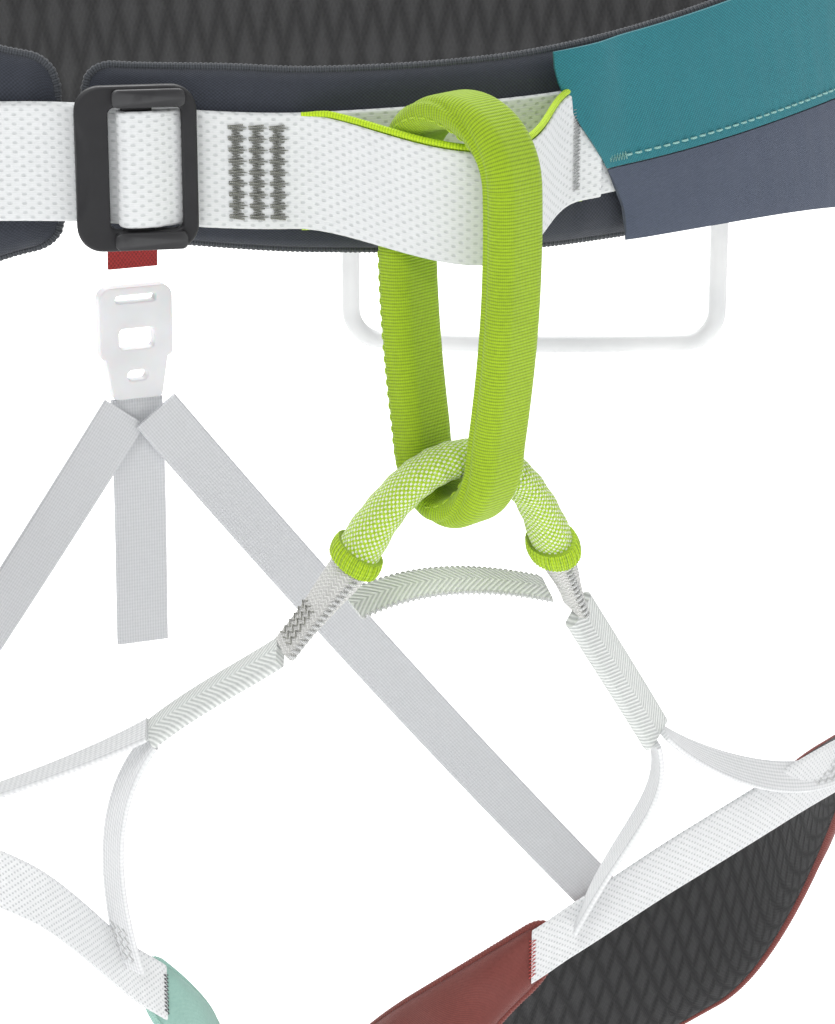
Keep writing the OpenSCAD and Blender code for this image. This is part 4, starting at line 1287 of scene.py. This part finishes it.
def build_leg_pad(name, skin, slot):
    leg = leg_of[name]
    body = name + "_leg_loop"
    angles = np.concatenate([np.linspace(pad_first, pad_first + 8, 14),
                             np.linspace(pad_first + 9, pad_last - 9, 230),
                             np.linspace(pad_last - 8, pad_last, 14)])
    faces = pad_profile(16)
    rows, lining = [], []
    for a in angles:
        top, bottom = leg_pad_edges(a)
        out = leg_out(leg, a)
        d = min(a - pad_first, pad_last - a) * leg_mm_per_degree
        end = 0.3 + 0.7 * ramp(0, 12, d)
        outer, inner, near, far = [], [], [], []
        for s in faces:
            down = (top + bottom) / 2 + (bottom - top) / 2 * s
            crown = (1.0 + 3.6 * (1 - abs(s) ** 4) ** 0.7) * end
            ripple = 0.5 * math.sin(a * 0.21 + s * 2.2) + 0.3 * math.sin(a * 0.53 - s * 4.1)
            at = leg_at(leg, a, 0, down)
            live = (1 - abs(s) ** 4) * end
            outer.append(at + out * (crown + ripple * live))
            inner.append(at - out * (crown * 0.85 + 0.4 * ripple * live))
            near.append(at - out * (crown * 0.85 + 0.4 * ripple * live + 0.25))
            far.append(at - out * (crown * 0.85 + 0.4 * ripple * live + 0.95))
        rows.append(outer + inner[::-1])
        lining.append(near + far[::-1])
    half = np.linspace(0, 76, len(faces))
    across = np.concatenate([half, half[::-1], half[:1]])
    pad = Shape().loft(rows, across=across).make(
        "leg_pad_" + name, skin, body, slot, ("leg_foam_" + name, "leg_fabric_" + name))
    Shape().loft(lining, across=across).make("leg_lining_" + name, spacer, body, "mesh",
                                             ("leg_mesh_" + name,))
    edge = ([leg_at(leg, a, 0, leg_pad_edges(a)[0] - 0.3) for a in angles]
            + [leg_at(leg, a, 0, leg_pad_edges(a)[1] + 0.3) for a in angles[::-1]])
    scalloped_edge(edge, 1.3, 1.3).make("leg_edging_" + name, skin, body, slot,
                                        ("leg_binding_" + name,))
    section, across = webbing_profile(leg_band_w, 1.6, 14)
    bands = []
    for a in np.linspace(band_first - 5, band_last + 5, 90):
        over_pad = 2.6 * (ramp(3, -5, a - band_first) + ramp(3, -5, band_last - a))
        rise = band_rise[name] * ramp(0, 26, a - band_first) * ramp(0, 40, band_last - a)
        bands.append([leg_at(leg, a, s[1] + over_pad, 1 + leg_band_w / 2 - s[0] * 1.06 - rise)
                      for s in section])
    Shape().loft(bands, across=across).make("leg_elastic_" + name, elastic, body, "elastic",
                                            ("leg_band_" + name,))
    seams = Shape()
    for first, way in ((pad_first, 1), (pad_last, -1)):
        def on_pad(x, y, first=first, way=way):
            a = first + way * (3.2 + x / leg_mm_per_degree)
            out = leg_out(leg, a)
            return leg_at(leg, a, 3.1, y), out

        for x in (0, 5.5):
            zigzag(seams, on_pad, x, x + 1.8, 3.5, 16.0, 0.6, 0.24)
    seams.make("leg_pad_stitching_" + name, thread_red if name == "right" else thread_dark, body,
               "thread")
    tab = Shape()
    rows = []
    section, across = webbing_profile(13, 1.6, 10)
    for k, a in enumerate(np.linspace(riser_on_leg - 6, riser_on_leg + 6, 20)):
        lift = 4.8 + 0.7 * math.sin(math.pi * k / 19)
        rows.append([leg_at(leg, a, lift + s[1], 14.5 - s[0]) for s in section])
    tab.loft(rows, across=across).make("leg_tab_" + name, red_web, body, "red_webbing",
                                       ("leg_riser_tab_" + name,))


# ---------------------------------------------------------------- rear riser
def plate(outline, holes, thickness, bevel, name, paint, body, nodes, place):
    """Flat moulding with holes and softened edges. place maps (x, y, depth) to the frame."""
    work = bmesh.new()
    edges = []
    for loop in [outline] + holes:
        verts = [work.verts.new((x, y, 0)) for x, y in loop]
        edges += [work.edges.new((verts[k], verts[(k + 1) % len(verts)])) for k in range(len(verts))]
    bmesh.ops.triangle_fill(work, use_beauty=True, use_dissolve=False, edges=edges)
    made = bmesh.ops.extrude_face_region(work, geom=list(work.faces))
    lifted = [g for g in made["geom"] if isinstance(g, bmesh.types.BMVert)]
    bmesh.ops.translate(work, verts=lifted, vec=(0, 0, thickness))
    bmesh.ops.recalc_face_normals(work, faces=work.faces)
    sharp = [e for e in work.edges if len(e.link_faces) == 2 and e.calc_face_angle(0) > 1.2]
    bmesh.ops.bevel(work, geom=sharp, offset=bevel, segments=3, profile=0.5, affect="EDGES")
    layer = work.loops.layers.uv.new("weave")
    for face in work.faces:
        for corner in face.loops:
            corner[layer].uv = (corner.vert.co.x * MM, corner.vert.co.y * MM)
    for v in work.verts:
        v.co = Vector(place(*v.co) * MM)
    bmesh.ops.recalc_face_normals(work, faces=work.faces)
    mesh = bpy.data.meshes.new(name)
    work.to_mesh(mesh)
    work.free()
    mesh.shade_smooth()
    mesh.materials.append(paint)
    obj = add_object(name, mesh)
    modifier = obj.modifiers.new("flat_faces", "WEIGHTED_NORMAL")
    modifier.keep_sharp = True
    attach(obj, body)
    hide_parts(*nodes)
    return obj


def arc_points(cx, cy, r, a0, a1, n=7):
    return [(cx + r * math.cos(math.radians(a)), cy + r * math.sin(math.radians(a)))
            for a in np.linspace(a0, a1, n)]


def build_riser():
    outline = (arc_points(-7.0, 1.6, 1.6, 180, 270, 5) + arc_points(7.0, 1.6, 1.6, 270, 360, 5)
               + arc_points(10.6, 15.6, 1.8, 270, 360, 5) + arc_points(8.5, 34, 4, 0, 90)
               + arc_points(-8.5, 34, 4, 90, 180) + arc_points(-10.6, 15.6, 1.8, 180, 270, 5))
    slot_loop = [tuple(p) for p in rounded_outline(riser_w - 3, 2.6, 1.0, 28) + [0, 34]]
    window = [tuple(p) for p in rounded_outline(12, 7, 1.6, 36) + [0, 20.5]]
    hole = [tuple(p) for p in rounded_outline(7, 3.6, 1.78, 28) + [0, 8]]
    plate(outline, [slot_loop, window, hole], 5.0, 0.55, "riser_hook_buckle", plastic_white,
          "rear_riser", ("riser_buckle",),
          lambda x, y, z: np.array([riser_x + x, riser_y + 2.5 - z, riser_low + y]))
    section, across = webbing_profile(riser_w + 1, 1.6)
    zs = np.linspace(riser_low - free, riser_low - free - 86, 60)
    centre = np.array([[riser_x, riser_y + 0.8 * math.sin((z - riser_low) * 0.05), z] for z in zs])
    run = unit(np.gradient(centre, axis=0))
    side = np.broadcast_to([1.0, 0, 0], centre.shape)
    rows = strap_rows(centre, side, unit(np.cross(side, run)), section)
    Shape().loft(rows, across=across).make("riser_tail_webbing", pale_web, "rear_riser",
                                           "pale_webbing", ("riser_tail",))
    section, across = webbing_profile(riser_w, 1.7)
    zs = np.linspace(riser_top + 33, riser_top + 1, 24)
    centre = np.array([[riser_x, riser_y - 0.1 + 0.25 * math.sin(z * 0.4), z] for z in zs])
    rows = strap_rows(centre, np.broadcast_to([1.0, 0, 0], centre.shape),
                      np.broadcast_to([0, -1.0, 0], centre.shape), section)
    Shape().loft(rows, across=across).make("riser_belt_tab", red_web, "waist_belt", "red_webbing",
                                           ("riser_tab",))
    tack = Shape()

    def on_tab(x, y):
        return np.array([riser_x + x, riser_y - 1.1, riser_top + y]), np.array([0, -1.0, 0])

    zigzag(tack, on_tab, -6.5, 6.5, 24, 29, 0.5, 0.22)
    tack.make("riser_tab_bartack", thread_dark, "waist_belt", "thread")
    for name, leg in leg_of.items():
        s = leg[0]
        start = np.array([riser_x + s * 5, riser_y - 3.9 - s, riser_low - 4])
        end = leg_at(leg, riser_on_leg, 3 + 3.4, 9)
        curve = [start, mix(start, end, 0.33) + [0, 1, -4], mix(start, end, 0.66) + [0, 2, -4], end]
        side0, side1 = [s, 0, 1], [s, -0.4, 0.8]
        cuts = [(0.0, 0.12, "rear_riser", "waist_belt"), (0.12, 0.5, "waist_belt", "leg_bridge"),
                (0.5, 1.0, "leg_bridge", name + "_leg_loop")]
        for k, (u0, u1, one, two) in enumerate(cuts):
            rows, across, _ = bezier_strap(curve, side0, side1, riser_w, 1.6, 40, u0, u1)
            Shape().loft(rows, across=across).make(
                f"riser_webbing_{name}_{k + 1}", pale_web, one, "pale_webbing",
                (f"riser_strap_{name}",) if k == 2 else (),
                second=(two, bezier(curve, u0), bezier(curve, u1)))


# ---------------------------------------------------------------- floor, light and camera
def area_light(name, place, aim, size, power):
    data = bpy.data.lights.new(name, "AREA")
    data.size = size
    data.energy = power
    lamp = add_object(name, data)
    lamp.location = place
    lamp.rotation_euler = (Vector(aim) - Vector(place)).to_track_quat("-Z", "Y").to_euler()


def build_stage():
    scene = bpy.context.scene
    scene.view_settings.view_transform = "Standard"
    world = bpy.data.worlds.new("studio")
    scene.world = world
    world.use_nodes = True
    sky = world.node_tree.nodes["Background"]
    sky.inputs[0].default_value = (1.0, 1.0, 1.0, 1.0)
    sky.inputs[1].default_value = 0.46
    floor_z = cad_box[0].z - 0.012
    mesh = bpy.data.meshes.new("floor")
    n, reach = 24, 9.0
    grid = np.linspace(-reach, reach, n + 1)
    verts = [(x, y + 2.0, floor_z) for y in grid for x in grid]
    faces = [(j * (n + 1) + i, j * (n + 1) + i + 1, (j + 1) * (n + 1) + i + 1, (j + 1) * (n + 1) + i)
             for j in range(n) for i in range(n)]
    mesh.from_pydata(verts, [], faces)
    floor = bpy.data.objects.new("floor", mesh)
    p = Paint("pale_floor", rough=0.9, Specular_IOR_Level=0.1, Emission_Strength=0.45,
              Emission_Color=(1.0, 1.0, 1.0, 1.0))
    speck = p.noise(3.0, 2.0)
    mesh.materials.append(p.done(p.blend(speck, (0.93, 0.93, 0.93, 1), (0.95, 0.95, 0.95, 1)), speck,
                                 0.05))
    scene.collection.objects.link(floor)
    area_light("key", (-1.2, -1.4, 1.7), (0, -0.1, -0.1), 0.9, 22)
    area_light("fill", (1.5, -1.2, 0.7), (0, 0, -0.15), 1.8, 7)
    area_light("top", (0.1, 0.5, 2.0), (0, 0, 0), 1.6, 14)
    area_light("far_floor", (0.6, 3.2, 2.6), (0.8, 3.0, -0.4), 3.0, 160)
    camera = add_object("camera", bpy.data.cameras.new("camera"))
    camera.data.lens = 111.09
    camera.data.sensor_width = 36
    camera.location = (-0.3060, -0.8614, 0.1681)
    camera.rotation_euler = (math.radians(72), 0, math.radians(-22))
    scene.camera = camera


build_belt()
build_panels()
build_waist_webbing()
build_tie_in()
build_buckle()
build_gear()
build_belay()
build_lower_tie_in()
build_junctions()
build_bridge()
for side_name, skin, skin_slot in (("left", mint, "mint_fabric"), ("right", brick, "red_fabric")):
    build_leg_straps(side_name)
    build_leg_pad(side_name, skin, skin_slot)
build_riser()
build_stage()
